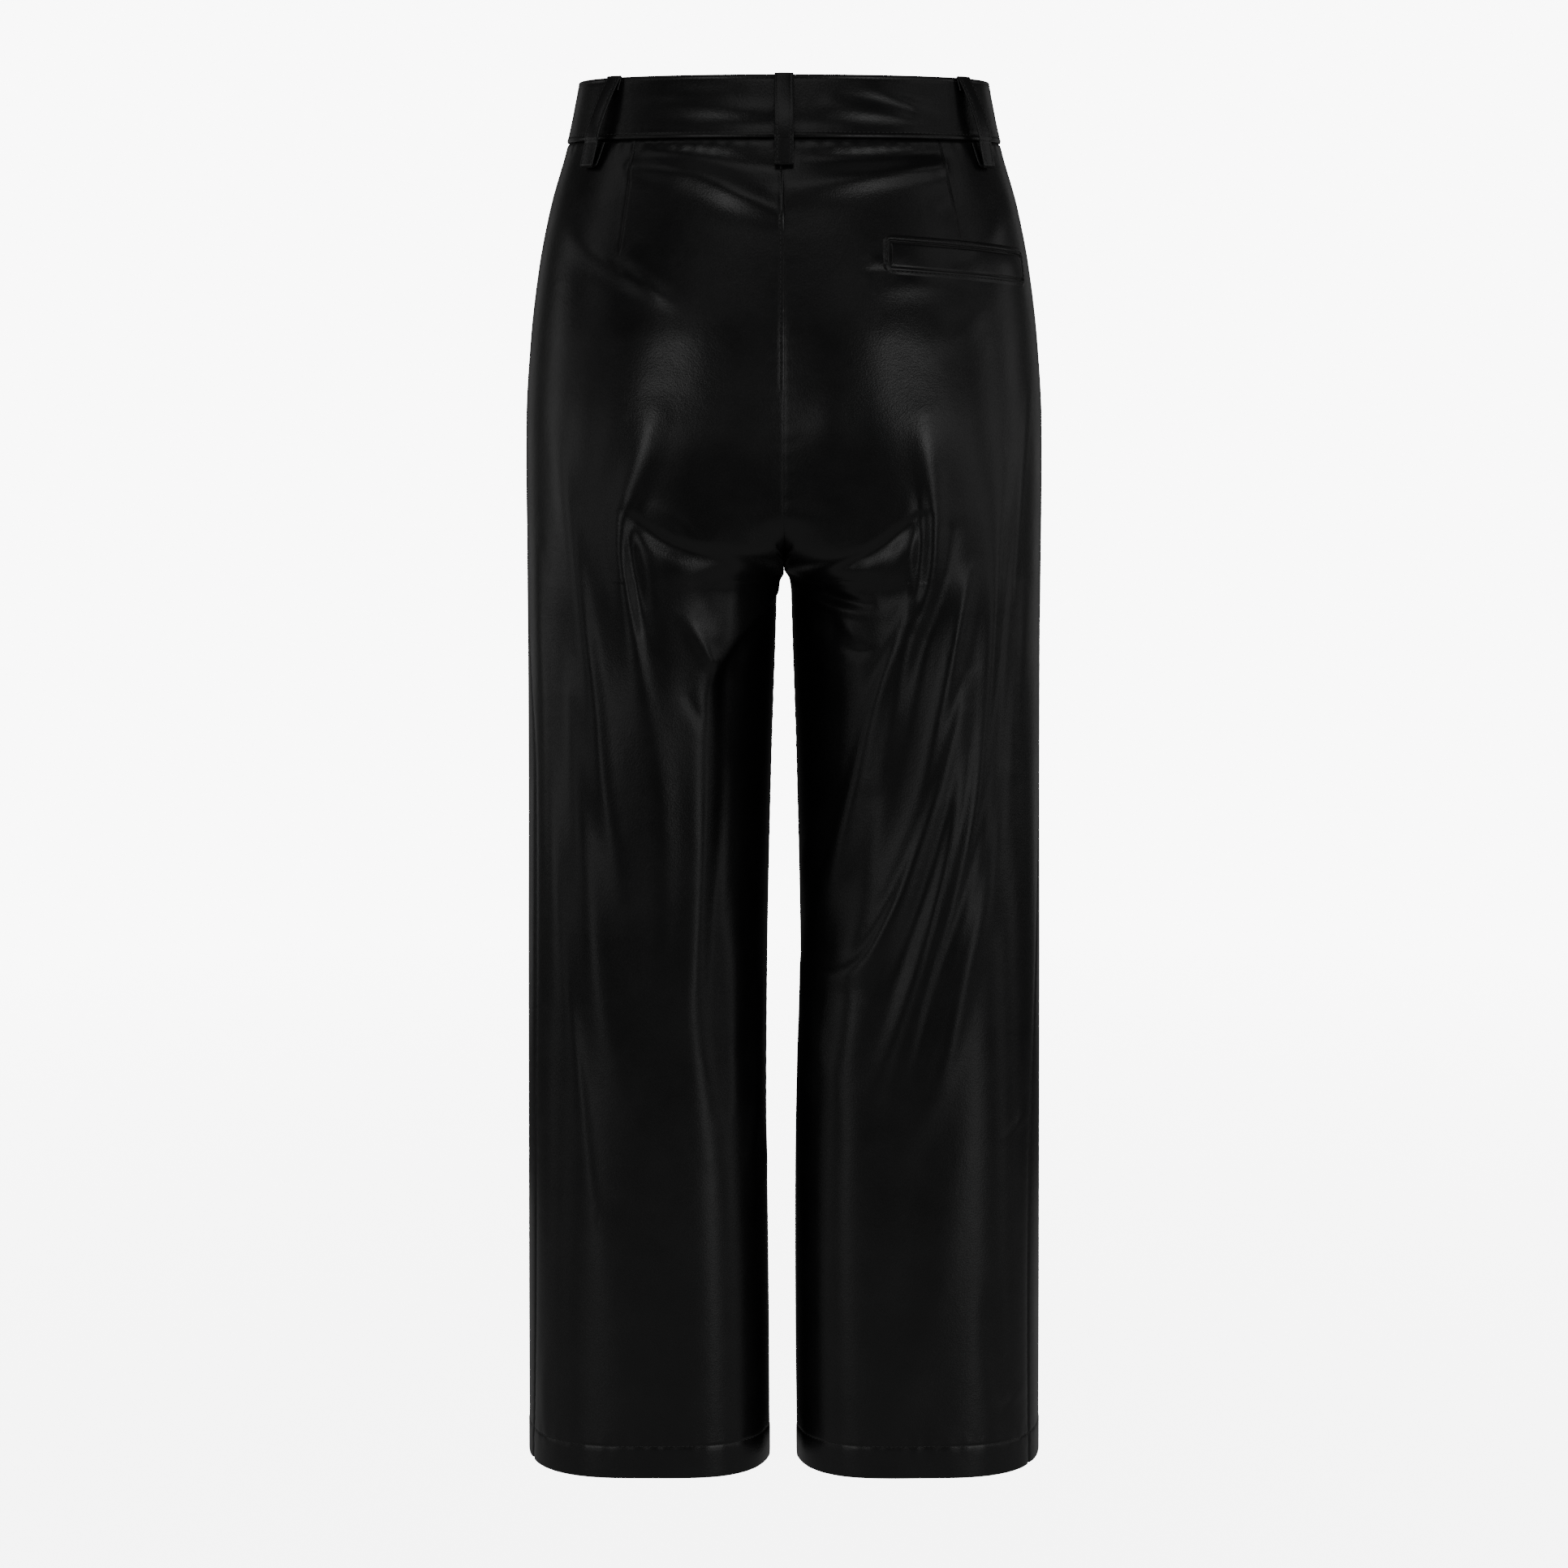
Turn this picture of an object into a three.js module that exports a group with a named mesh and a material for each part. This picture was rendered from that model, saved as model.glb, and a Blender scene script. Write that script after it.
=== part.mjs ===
// Wide-leg leather trousers in their worn form, with no wearer: a hollow waist, seat and two legs.
// Millimetres, +Z up, the front faces -Y, and the wearer's left is +X.
// The origin is the middle of the waist opening, half way up the waistband.
import * as THREE from "three";

// Heights of the main lines
const BAND_TOP = 20;
const BAND_FOOT = -20;
const FORK = -300;
const HEM = -902;

// Cloth and seams
const WALL = 1.5;
const HEM_WALL = 2.8;
const HEM_DEPTH = 22;
const SEAM_GAP = 0.3;
const HALF_GAP = SEAM_GAP / 2;
const LAID_ON = 0.5;
const HEM_BLEND = 2;

// Waistband
const BAND_WALL = 3;
const BAND_PROUD = 0.8;
const BAND_COLUMNS = 60;
const BAND_ROWS = 4;
const UNDERLAP = 34;
const UNDERLAP_STEP = 14;

// Belt loops
const LOOP_WIDE = 12;
const LOOP_THICK = 1.8;
const LOOP_TOP = 18.5;
const LOOP_FOOT = -36.5;
const LOOP_RISE = 7.2;
const LOOP_RAMP = 0.28;
const LOOP_SEWN = 0.15;
const LOOP_STEPS = 14;

// Where each loop's two ends are, as degrees round the waist from the back seam towards the left
const LOOPS = [
  { name: "loop_back_centre", top: 0, foot: 0 },
  { name: "loop_back_left", top: 52, foot: 56 },
  { name: "loop_back_right", top: -57, foot: -60 },
  { name: "loop_front_left", top: 138, foot: 138 },
  { name: "loop_front_right", top: -138, foot: -138 },
];

// Back pocket welt: where its mouth runs, as arc lengths from the centre back seam
const WELT_INNER = { along: 68, height: -93 };
const WELT_OUTER = { along: 184, height: -101 };
const WELT_DEPTH = 14.5;
const WELT_THICK = 1.2;
const WELT_COLUMNS = 12;
const WELT_ROWS = 2;

// Fly zip: the profile across its two tapes, and the slider with its tab hanging shut
const ZIP_TOP = -24;
const ZIP_FOOT = -176;
const ZIP_ROWS = 12;
const ZIP_PROFILE = [
  { across: -13, face: 2, back: 3.1 },
  { across: -9, face: 2.4, back: 3.5 },
  { across: -4, face: 5.6, back: 6.7 },
  { across: -2.5, face: 4.4, back: 6.7 },
  { across: 2.5, face: 4.4, back: 6.7 },
  { across: 4, face: 5.6, back: 6.7 },
  { across: 9, face: 2.4, back: 3.5 },
  { across: 13, face: 2, back: 3.1 },
];
const SLIDER = { wide: 8, tall: 9, top: -30, thick: 1.5, inset: 4 };
const TAB = { wide: 4.4, tall: 17, hole: 1.2, curve: 6 };

// Waist button
const BUTTON = { radius: 8.5, thick: 2.4, rim: 1.2, dish: 0.7, edge: 0.5, across: 13, facets: 32 };

// Colours
const LEATHER = { color: 0x0b0b0c, roughness: 0.42, metalness: 0 };
const DARK_METAL = { color: 0x1a1a1c, roughness: 0.35, metalness: 0.9 };
const DARK_BUTTON = { color: 0x101012, roughness: 0.3, metalness: 0 };
const TAPE = { color: 0x0d0d0e, roughness: 0.9, metalness: 0 };

// The base form. One leg's oval reaches from `side` to `inner`, both from the centre line, and is
// deepest at `crown`. middle, back and front are depths, the two "round" columns say how square
// each half of the oval is, and the two "turn" columns how many degrees behind the side each side
// seam runs. Above the fork the ovals meet on the centre line, and `inner` isn't used.
const SECTION_COLUMNS = [
  "height", "side", "crown", "inner", "middle", "back", "front",
  "backRound", "frontRound", "leftTurn", "rightTurn",
];
const SECTIONS = [
  [20, 134, 0, 0, 0, 98, 96, 2.15, 2.1, 0, 0],
  [-20, 142.5, 0, 0, 0, 107, 101, 2.15, 2.1, 0, 0],
  [-60, 154, 2, 0, 1, 119, 104, 2.2, 2.15, 0, 0],
  [-100, 162, 9, 0, 3, 128, 106, 2.25, 2.2, 1, 1],
  [-150, 168, 25, 0, 5, 137, 107, 2.3, 2.2, 2, 2],
  [-200, 171, 46, 0, 6, 140, 106, 2.35, 2.2, 3, 3],
  [-250, 171.5, 68, 0, 5, 134, 104, 2.35, 2.2, 5, 4],
  [FORK, 171.5, 85, HALF_GAP, 4, 126, 101.5, 2.3, 2.2, 10.5, 5.5],
  [-306, 171.5, 86.5, 3.4, 4, 125, 101, 2.3, 2.2, 11, 6],
  [-316, 171.5, 87.5, 4.7, 4, 123.5, 100.5, 2.3, 2.2, 13, 6],
  [-330, 171.5, 88, 5.1, 4, 121.5, 100, 2.3, 2.2, 14, 7],
  [-430, 171.8, 90, 8.4, 4, 112, 97, 2.5, 2.3, 29, 11],
  [-560, 172.8, 92, 11.2, 4, 103, 93, 2.9, 2.3, 31, 23],
  [-650, 173.5, 93, 12, 4, 99, 90, 3, 2.3, 30, 32],
  [-775, 174.5, 93.5, 12.3, 4, 98, 87, 3, 2.3, 29, 35],
  [HEM, 175.4, 94, 12.4, 4, 97, 85, 2.9, 2.2, 24, 33],
];
// The crotch seam: above the fork it sweeps out to the back and the front as a quarter oval of
// this height. Where the crowns are far apart it stays this share of the depth short of them.
const SEAT_RISE = 45;
const FLY_RISE = 115;
const CLEFT = { share: 0.015, crown: 50, least: 0.001 };

// Heights at which a panel has a row of points: each stretch ends at `to` after `rows` rows, and
// the rows draw together towards its foot where `closing` is over 1.
const STRETCHES = [
  { to: -60, rows: 3, closing: 1 },
  { to: -260, rows: 10, closing: 1 },
  { to: FORK, rows: 8, closing: 1.5 },
  { to: -316, rows: 3, closing: 1 },
  { to: -420, rows: 5, closing: 1 },
  { to: HEM + HEM_DEPTH, rows: 15, closing: 1 },
  { to: HEM, rows: 1, closing: 1 },
];
const PANEL_COLUMNS = 14;

// The largest folds. `path` holds points as [from the centre line, height], `wide` is the reach to
// each side and `deep` is how far the cloth stands out, or in where it is below zero.
const LEFT = 1;
const RIGHT = -1;
const BACK = 1;
const FRONT = -1;
const FOLDS = [
  { on: BACK, side: LEFT, wide: 16, deep: 3, path: [[147, -67], [111, -99], [71, -122]] },
  { on: BACK, side: LEFT, wide: 14, deep: 2.5, path: [[84, -215], [103, -254], [104, -312]] },
  { on: BACK, side: LEFT, wide: 12, deep: -3, path: [[100, -256], [66, -266], [39, -284], [4, -291]] },
  { on: BACK, side: LEFT, wide: 14, deep: 3, path: [[10, -310], [45, -352]] },
  { on: BACK, side: LEFT, wide: 17, deep: 4, path: [[52, -345], [50, -400], [54, -470], [58, -549]] },
  { on: BACK, side: LEFT, wide: 15, deep: -3, path: [[24, -366], [25, -480], [22, -600]] },
  { on: BACK, side: LEFT, wide: 18, deep: 3, path: [[95, -375], [80, -470], [83, -541]] },
  { on: BACK, side: LEFT, wide: 14, deep: 2, path: [[141, -449], [118, -565], [98, -655]] },
  { on: BACK, side: RIGHT, wide: 13, deep: 2.2, path: [[88, -198], [94, -254], [94, -289]] },
  { on: BACK, side: RIGHT, wide: 12, deep: -3, path: [[86, -253], [43, -282], [4, -289]] },
  { on: BACK, side: RIGHT, wide: 22, deep: -4, path: [[30, -366], [28, -388]] },
  { on: BACK, side: RIGHT, wide: 14, deep: 3.5, path: [[80, -327], [60, -371], [32, -471], [16, -549]] },
  { on: BACK, side: RIGHT, wide: 14, deep: 4, path: [[101, -347], [90, -446], [60, -532], [35, -566]] },
  { on: BACK, side: RIGHT, wide: 13, deep: -3, path: [[72, -397], [57, -468], [36, -520]] },
  { on: BACK, side: RIGHT, wide: 13, deep: 3, path: [[134, -283], [127, -422], [105, -505], [68, -614]] },
  { on: BACK, side: RIGHT, wide: 13, deep: 2, path: [[141, -459], [126, -541], [92, -663]] },
  { on: FRONT, side: LEFT, wide: 14, deep: -3, path: [[4, -262], [48, -243], [98, -222]] },
  { on: FRONT, side: LEFT, wide: 16, deep: 3, path: [[20, -300], [44, -352], [62, -430]] },
  { on: FRONT, side: LEFT, wide: 18, deep: 3, path: [[112, -330], [98, -450], [102, -560]] },
  { on: FRONT, side: LEFT, wide: 16, deep: -2.5, path: [[40, -470], [52, -580]] },
  { on: FRONT, side: RIGHT, wide: 14, deep: -3, path: [[4, -268], [52, -252], [92, -236]] },
  { on: FRONT, side: RIGHT, wide: 16, deep: 3.2, path: [[18, -306], [50, -372], [60, -455]] },
  { on: FRONT, side: RIGHT, wide: 18, deep: 2.6, path: [[118, -350], [104, -470], [96, -590]] },
  { on: FRONT, side: RIGHT, wide: 16, deep: -2.5, path: [[34, -500], [44, -600]] },
];
// Folds fade out towards the sides, so that they leave the outline as it is.
const FOLD_FADE = 0.35;

const degrees = (value) => (value * Math.PI) / 180;
const clamp = (value, low, high) => Math.min(Math.max(value, low), high);
const blend = (a, b, share) => a + (b - a) * share;
const smooth = (share) => share * share * (3 - 2 * share);

// Monotone cubic through the section rows, so that no column overshoots between two rows.
const ROWS_UP = SECTIONS.toReversed();
const HEIGHTS = ROWS_UP.map((row) => row[0]);
const SLOPES = SECTION_COLUMNS.map((_, column) => {
  const steps = HEIGHTS.slice(1).map((height, i) => height - HEIGHTS[i]);
  const rises = steps.map((step, i) => (ROWS_UP[i + 1][column] - ROWS_UP[i][column]) / step);
  return HEIGHTS.map((_, i) => {
    if (i === 0) return rises[0];
    if (i === rises.length) return rises[i - 1];
    if (rises[i - 1] * rises[i] <= 0) return 0;
    const before = 2 * steps[i] + steps[i - 1];
    const after = steps[i] + 2 * steps[i - 1];
    return (before + after) / (before / rises[i - 1] + after / rises[i]);
  });
});

function sectionAt(height) {
  const z = clamp(height, HEIGHTS[0], HEIGHTS.at(-1));
  let i = HEIGHTS.findIndex((value) => value > z) - 1;
  if (i < 0) i = HEIGHTS.length - 2;
  const step = HEIGHTS[i + 1] - HEIGHTS[i];
  const t = (z - HEIGHTS[i]) / step;
  const section = {};
  SECTION_COLUMNS.forEach((name, column) => {
    const a = ROWS_UP[i][column];
    const b = ROWS_UP[i + 1][column];
    const fromA = a * (1 + 2 * t) + step * SLOPES[column][i] * t;
    const fromB = b * (3 - 2 * t) - step * SLOPES[column][i + 1] * (1 - t);
    section[name] = fromA * (1 - t) ** 2 + fromB * t * t;
  });
  return section;
}

// How far the inner half of the oval reaches in from its crown. Above the fork it reaches past the
// centre line, just so far that it crosses that line at the crotch seam's depth.
function innerReach(section, on) {
  if (section.height <= FORK) return section.crown - section.inner;
  const rise = on === BACK ? SEAT_RISE : FLY_RISE;
  const round = on === BACK ? section.backRound : section.frontRound;
  const above = clamp((section.height - FORK) / rise, 0, 1);
  const cleft = CLEFT.share * clamp(section.crown / CLEFT.crown, CLEFT.least, 1);
  const share = (1 - cleft) * Math.sqrt(1 - (1 - above) ** 2);
  return section.crown / (1 - share ** round) ** (1 / round);
}

// A point of the oval of one leg or, near the waist, of the whole body. turn is 0 at the side,
// 90 degrees at the crown of the back and -90 at the crown of the front.
function ovalPoint(section, turn) {
  const on = turn >= 0 ? BACK : FRONT;
  const depth = on === BACK ? section.back - section.middle : section.front + section.middle;
  const power = 2 / (on === BACK ? section.backRound : section.frontRound);
  const across = Math.cos(turn);
  const reach = across >= 0 ? section.side - section.crown : innerReach(section, on);
  const x = section.crown + reach * Math.sign(across) * Math.abs(across) ** power;
  const y = section.middle + on * depth * Math.abs(Math.sin(turn)) ** power;
  return [x, y];
}

// The turn at which the oval reaches the centre line, or half way round where it never does.
function turnAtCentre(section, on) {
  if (section.height <= FORK) return Math.PI;
  const round = on === BACK ? section.backRound : section.frontRound;
  const past = section.crown - HALF_GAP;
  const reach = past > 0 ? innerReach(section, on) : section.side - section.crown;
  const across = Math.sign(past) * (Math.abs(past) / reach) ** (round / 2);
  return Math.PI - Math.acos(clamp(across, -1, 1));
}

function distanceToPath(x, z, path) {
  let nearest = Infinity;
  for (let i = 0; i + 1 < path.length; i++) {
    const [ax, az] = path[i];
    const [bx, bz] = path[i + 1];
    const length = (bx - ax) ** 2 + (bz - az) ** 2;
    const share = clamp(((x - ax) * (bx - ax) + (z - az) * (bz - az)) / length, 0, 1);
    const gap = Math.hypot(x - blend(ax, bx, share), z - blend(az, bz, share));
    nearest = Math.min(nearest, gap);
  }
  return nearest;
}

function foldHeight(on, side, x, z) {
  let height = 0;
  for (const fold of FOLDS) {
    if (fold.on !== on || fold.side !== side) continue;
    const gap = distanceToPath(x, z, fold.path) / fold.wide;
    height += fold.deep * Math.exp(-gap * gap);
  }
  return height;
}

// One row across a panel, from the side seam to the inner edge, as close samples of its line with
// their lengths. The pieces stay half a seam gap from the seam lines.
const ROW_SAMPLES = 240;
function panelRow(side, on, height) {
  const section = sectionAt(height);
  const start = degrees(side === LEFT ? section.leftTurn : section.rightTurn);
  const end = on * turnAtCentre(section, on);
  const meetsCentre = height > FORK;
  const samples = [];
  for (let i = 0; i <= ROW_SAMPLES; i++) {
    const turn = blend(start, end, i / ROW_SAMPLES);
    samples.push([...ovalPoint(section, turn), Math.sin(turn) * on, Math.abs(turn)]);
  }
  const lengths = [0];
  for (let i = 1; i < samples.length; i++) {
    const step = Math.hypot(samples[i][0] - samples[i - 1][0], samples[i][1] - samples[i - 1][1]);
    lengths.push(lengths[i - 1] + step);
  }
  const first = HALF_GAP;
  const last = lengths.at(-1) - (meetsCentre ? 0 : HALF_GAP);
  const atCrown = samples.findIndex((sample, i) => i > 0 && sample[3] >= Math.PI / 2);
  const toCrown = atCrown < 0 ? last : lengthAtTurn(samples, lengths, atCrown);
  const even = Math.min(toCrown + section.crown, last);
  return { height, samples, lengths, first, last, even };
}

// The length at which a row passes its crown, between two samples.
function lengthAtTurn(samples, lengths, next) {
  const before = samples[next - 1][3];
  const share = (Math.PI / 2 - before) / (samples[next][3] - before);
  return blend(lengths[next - 1], lengths[next], share);
}

// Where a column crosses a row, as a length. The columns are even, but those next to the fork
// take up what the row gains there, so that the others run straight on down.
function columnLength(row, share) {
  return row.first + (row.even - row.first) * share + (row.last - row.even) * share ** 3;
}

// The folded cloth's point at a length along a row, and the direction in which the row runs there.
function pointOnRow(row, side, on, length) {
  const target = clamp(length, row.first, row.last);
  let i = row.lengths.findIndex((value) => value > target);
  if (i < 1) i = row.lengths.length - 1;
  const t = (target - row.lengths[i - 1]) / (row.lengths[i] - row.lengths[i - 1]);
  const [ax, ay, facingA] = row.samples[i - 1];
  const [bx, by, facingB] = row.samples[i];
  const along = Math.hypot(bx - ax, by - ay);
  const out = [((by - ay) / along) * on, ((ax - bx) / along) * on];
  const x = blend(ax, bx, t);
  const facing = clamp(blend(facingA, facingB, t) / FOLD_FADE, 0, 1);
  const lift = foldHeight(on, side, x, row.height) * smooth(facing);
  const outX = Math.max(x + out[0] * lift, HALF_GAP);
  const outY = blend(ay, by, t) + out[1] * lift;
  const point = new THREE.Vector3(outX * side, outY, row.height);
  const run = new THREE.Vector3(((bx - ax) / along) * side, (by - ay) / along, 0);
  return { point, run };
}

function panelHeights() {
  const heights = [BAND_FOOT - HALF_GAP];
  for (const { to, rows, closing } of STRETCHES) {
    const from = heights.at(-1);
    for (let i = 1; i <= rows; i++) heights.push(blend(to, from, (1 - i / rows) ** closing));
  }
  return heights;
}

// Outward directions on a grid, from the way each row runs and the way each column falls.
function gridNormals(points, runs, flip) {
  return points.map((row, i) =>
    row.map((_, j) => {
      const up = points[Math.max(i - 1, 0)][j];
      const down = points[Math.min(i + 1, points.length - 1)][j];
      const fall = down.clone().sub(up);
      return runs[i][j].clone().cross(fall).normalize().multiplyScalar(flip);
    }),
  );
}

// A closed solid between two grids of points of the same size. outer faces out.
function solidBetween(outer, inner, flip) {
  const rows = outer.length;
  const columns = outer[0].length;
  const positions = [outer, inner].flat(2).flatMap((point) => point.toArray());
  const at = (layer, i, j) => layer * rows * columns + i * columns + j;
  const indices = [];
  const quad = (a, b, c, d) => {
    if (flip > 0) indices.push(a, b, c, a, c, d);
    else indices.push(a, c, b, a, d, c);
  };
  for (let i = 0; i + 1 < rows; i++) {
    for (let j = 0; j + 1 < columns; j++) {
      quad(at(0, i, j), at(0, i, j + 1), at(0, i + 1, j + 1), at(0, i + 1, j));
      quad(at(1, i, j), at(1, i + 1, j), at(1, i + 1, j + 1), at(1, i, j + 1));
    }
  }
  const foot = rows - 1;
  for (let j = 0; j + 1 < columns; j++) {
    quad(at(0, 0, j + 1), at(0, 0, j), at(1, 0, j), at(1, 0, j + 1));
    quad(at(0, foot, j), at(0, foot, j + 1), at(1, foot, j + 1), at(1, foot, j));
  }
  const end = columns - 1;
  for (let i = 0; i + 1 < rows; i++) {
    quad(at(0, i, 0), at(0, i + 1, 0), at(1, i + 1, 0), at(1, i, 0));
    quad(at(0, i + 1, end), at(0, i, end), at(1, i, end), at(1, i + 1, end));
  }
  const geometry = new THREE.BufferGeometry();
  geometry.setAttribute("position", new THREE.Float32BufferAttribute(positions, 3));
  geometry.setIndex(indices);
  geometry.computeVertexNormals();
  return geometry;
}

function piece(name, geometry, look) {
  const mesh = new THREE.Mesh(geometry, new THREE.MeshStandardMaterial(look));
  mesh.name = name;
  return mesh;
}

// A leg panel: the cloth from the waist seam to the hem, with the turned-up hem on its inside.
function panel(name, side, on) {
  const grid = panelHeights().map((height) => {
    const row = panelRow(side, on, height);
    return Array.from({ length: PANEL_COLUMNS + 1 }, (_, j) =>
      pointOnRow(row, side, on, columnLength(row, j / PANEL_COLUMNS)),
    );
  });
  const outer = grid.map((row) => row.map(({ point }) => point));
  const runs = grid.map((row) => row.map(({ run }) => run));
  const flip = -side * on;
  const normals = gridNormals(outer, runs, flip);
  const inner = outer.map((row, i) =>
    row.map((point, j) => {
      const inHem = clamp((HEM + HEM_DEPTH - point.z) / HEM_BLEND + 0.5, 0, 1);
      const moved = point.clone().addScaledVector(normals[i][j], -blend(WALL, HEM_WALL, inHem));
      moved.x = side * Math.max(moved.x * side, HALF_GAP);
      return moved;
    }),
  );
  return piece(name, solidBetween(outer, inner, flip), LEATHER);
}

// The point of the whole waist ring at a turn measured from the back seam towards the left side.
const NUDGE = 0.002;
function ringPoint(turn, height, out) {
  const section = sectionAt(height);
  const wrapped = Math.atan2(Math.sin(turn), Math.cos(turn));
  const side = wrapped >= 0 ? LEFT : RIGHT;
  const fromSide = Math.PI / 2 - Math.abs(wrapped);
  const [x, y] = ovalPoint(section, fromSide);
  const [ax, ay] = ovalPoint(section, fromSide + NUDGE);
  const [bx, by] = ovalPoint(section, fromSide - NUDGE);
  const length = Math.hypot(ax - bx, ay - by);
  const outX = ((ay - by) / length) * out;
  const outY = ((bx - ax) / length) * out;
  return new THREE.Vector3((x + outX) * side, y + outY, height);
}

// The waistband runs from the right front end, round the back, to the left front end, where it
// steps in and passes behind the right end as the underlap.
function waistband() {
  const lap = UNDERLAP / sectionAt(0).side;
  const step = UNDERLAP_STEP / sectionAt(0).side;
  const gap = HALF_GAP / sectionAt(0).side;
  const start = -Math.PI + gap;
  const end = Math.PI + lap;
  const behind = BAND_PROUD - BAND_WALL - LAID_ON;
  const grids = [0, BAND_WALL].map((inset) => {
    const grid = [];
    for (let i = 0; i <= BAND_ROWS; i++) {
      const height = blend(BAND_TOP, BAND_FOOT + HALF_GAP, i / BAND_ROWS);
      const row = [];
      for (let j = 0; j <= BAND_COLUMNS; j++) {
        const turn = blend(start, end, j / BAND_COLUMNS);
        const stepped = smooth(clamp((turn - (Math.PI - step - gap)) / step, 0, 1));
        row.push(ringPoint(turn, height, blend(BAND_PROUD, behind, stepped) - inset));
      }
      grid.push(row);
    }
    return grid;
  });
  return piece("waistband", solidBetween(grids[0], grids[1], 1), LEATHER);
}

// The half width of a strip on the waist ring, as a turn, found in a few tries.
const WIDTH_TRIES = 6;
function halfTurn(turn, height, wide) {
  let half = wide / 2 / sectionAt(height).side;
  for (let i = 0; i < WIDTH_TRIES; i++) {
    const span = ringPoint(turn + half, height, 0).distanceTo(ringPoint(turn - half, height, 0));
    half *= wide / span;
  }
  return half;
}

// A belt loop: a strip over the waistband, sewn down at both ends and standing off between them.
function beltLoop(name, topTurn, footTurn) {
  const top = [];
  const under = [];
  for (let k = 0; k <= LOOP_STEPS; k++) {
    const share = k / LOOP_STEPS;
    const height = blend(LOOP_TOP, LOOP_FOOT, share);
    const turn = blend(topTurn, footTurn, share);
    const half = halfTurn(turn, height, LOOP_WIDE);
    const ramp = smooth(clamp(Math.min(share, 1 - share) / LOOP_RAMP - LOOP_SEWN, 0, 1));
    const proud = height > BAND_FOOT ? BAND_PROUD : 0;
    const rise = proud + LAID_ON + LOOP_RISE * ramp;
    const edges = [turn - half, turn + half];
    top.push(edges.map((edge) => ringPoint(edge, height, rise + LOOP_THICK)));
    under.push(edges.map((edge) => ringPoint(edge, height, rise)));
  }
  return piece(name, solidBetween(top, under, 1), LEATHER);
}

// Two grids over a panel, `over` and `under` its cloth by those distances. place gives each
// point's arc length from the centre line and its height.
function gridsOnPanel(side, on, columns, rows, place, under, over) {
  const flip = -side * on;
  return [over, under].map((out) =>
    Array.from({ length: rows + 1 }, (_, i) =>
      Array.from({ length: columns + 1 }, (_, j) => {
        const { along, height } = place(j / columns, i / rows);
        const row = panelRow(side, on, height);
        const { point, run } = pointOnRow(row, side, on, row.last - along);
        const outward = new THREE.Vector3(-run.y, run.x, 0).multiplyScalar(flip);
        return point.addScaledVector(outward, out);
      }),
    ),
  );
}

function pocketWelt() {
  const place = (share, drop) => ({
    along: blend(WELT_INNER.along, WELT_OUTER.along, share),
    height: blend(WELT_INNER.height, WELT_OUTER.height, share) + WELT_DEPTH * (0.5 - drop),
  });
  const over = LAID_ON + WELT_THICK;
  const [outer, inner] = gridsOnPanel(RIGHT, BACK, WELT_COLUMNS, WELT_ROWS, place, LAID_ON, over);
  return piece("pocket_welt", solidBetween(outer, inner, -1), LEATHER);
}

// A point level with the front seam, `across` from it towards the left and `inset` behind the
// outer face of the cloth.
function frontPoint(across, height, inset) {
  const side = across >= 0 ? LEFT : RIGHT;
  const row = panelRow(side, FRONT, height);
  const { point } = pointOnRow(row, side, FRONT, row.last - Math.abs(across));
  return new THREE.Vector3(across, point.y + inset, height);
}

// The zip behind the fly: two tapes, sewn along their edges, that meet under a raised chain.
function zip() {
  const [face, back] = ["face", "back"].map((layer) =>
    Array.from({ length: ZIP_ROWS + 1 }, (_, i) => {
      const height = blend(ZIP_TOP, ZIP_FOOT, i / ZIP_ROWS);
      return ZIP_PROFILE.map((line) => frontPoint(line.across, height, line[layer]));
    }),
  );
  return piece("zip_tape", solidBetween(face, back, -1), TAPE);
}

// The slider at the top of the chain, with its tab lying flat below it, behind the cloth.
function zipSlider() {
  const outline = new THREE.Shape();
  const foot = -SLIDER.tall - TAB.tall;
  outline.moveTo(-SLIDER.wide / 2, 0);
  outline.lineTo(-SLIDER.wide / 2, -SLIDER.tall);
  outline.lineTo(-TAB.wide / 2, -SLIDER.tall);
  outline.lineTo(-TAB.wide / 2, foot + TAB.wide / 2);
  outline.absarc(0, foot + TAB.wide / 2, TAB.wide / 2, Math.PI, 2 * Math.PI, false);
  outline.lineTo(TAB.wide / 2, -SLIDER.tall);
  outline.lineTo(SLIDER.wide / 2, -SLIDER.tall);
  outline.lineTo(SLIDER.wide / 2, 0);
  outline.closePath();
  const hole = new THREE.Path();
  hole.absarc(0, foot + TAB.wide / 2, TAB.hole, 0, 2 * Math.PI, true);
  outline.holes.push(hole);
  const body = new THREE.ExtrudeGeometry(outline, {
    depth: SLIDER.thick,
    bevelEnabled: false,
    curveSegments: TAB.curve,
  });
  const top = frontPoint(0, SLIDER.top, SLIDER.inset);
  const lower = frontPoint(0, SLIDER.top + foot, SLIDER.inset);
  const mesh = piece("zip_slider", body, DARK_METAL);
  mesh.rotation.x = Math.PI / 2 - Math.atan2(top.y - lower.y, top.z - lower.z);
  mesh.position.copy(top);
  return mesh;
}

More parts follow.
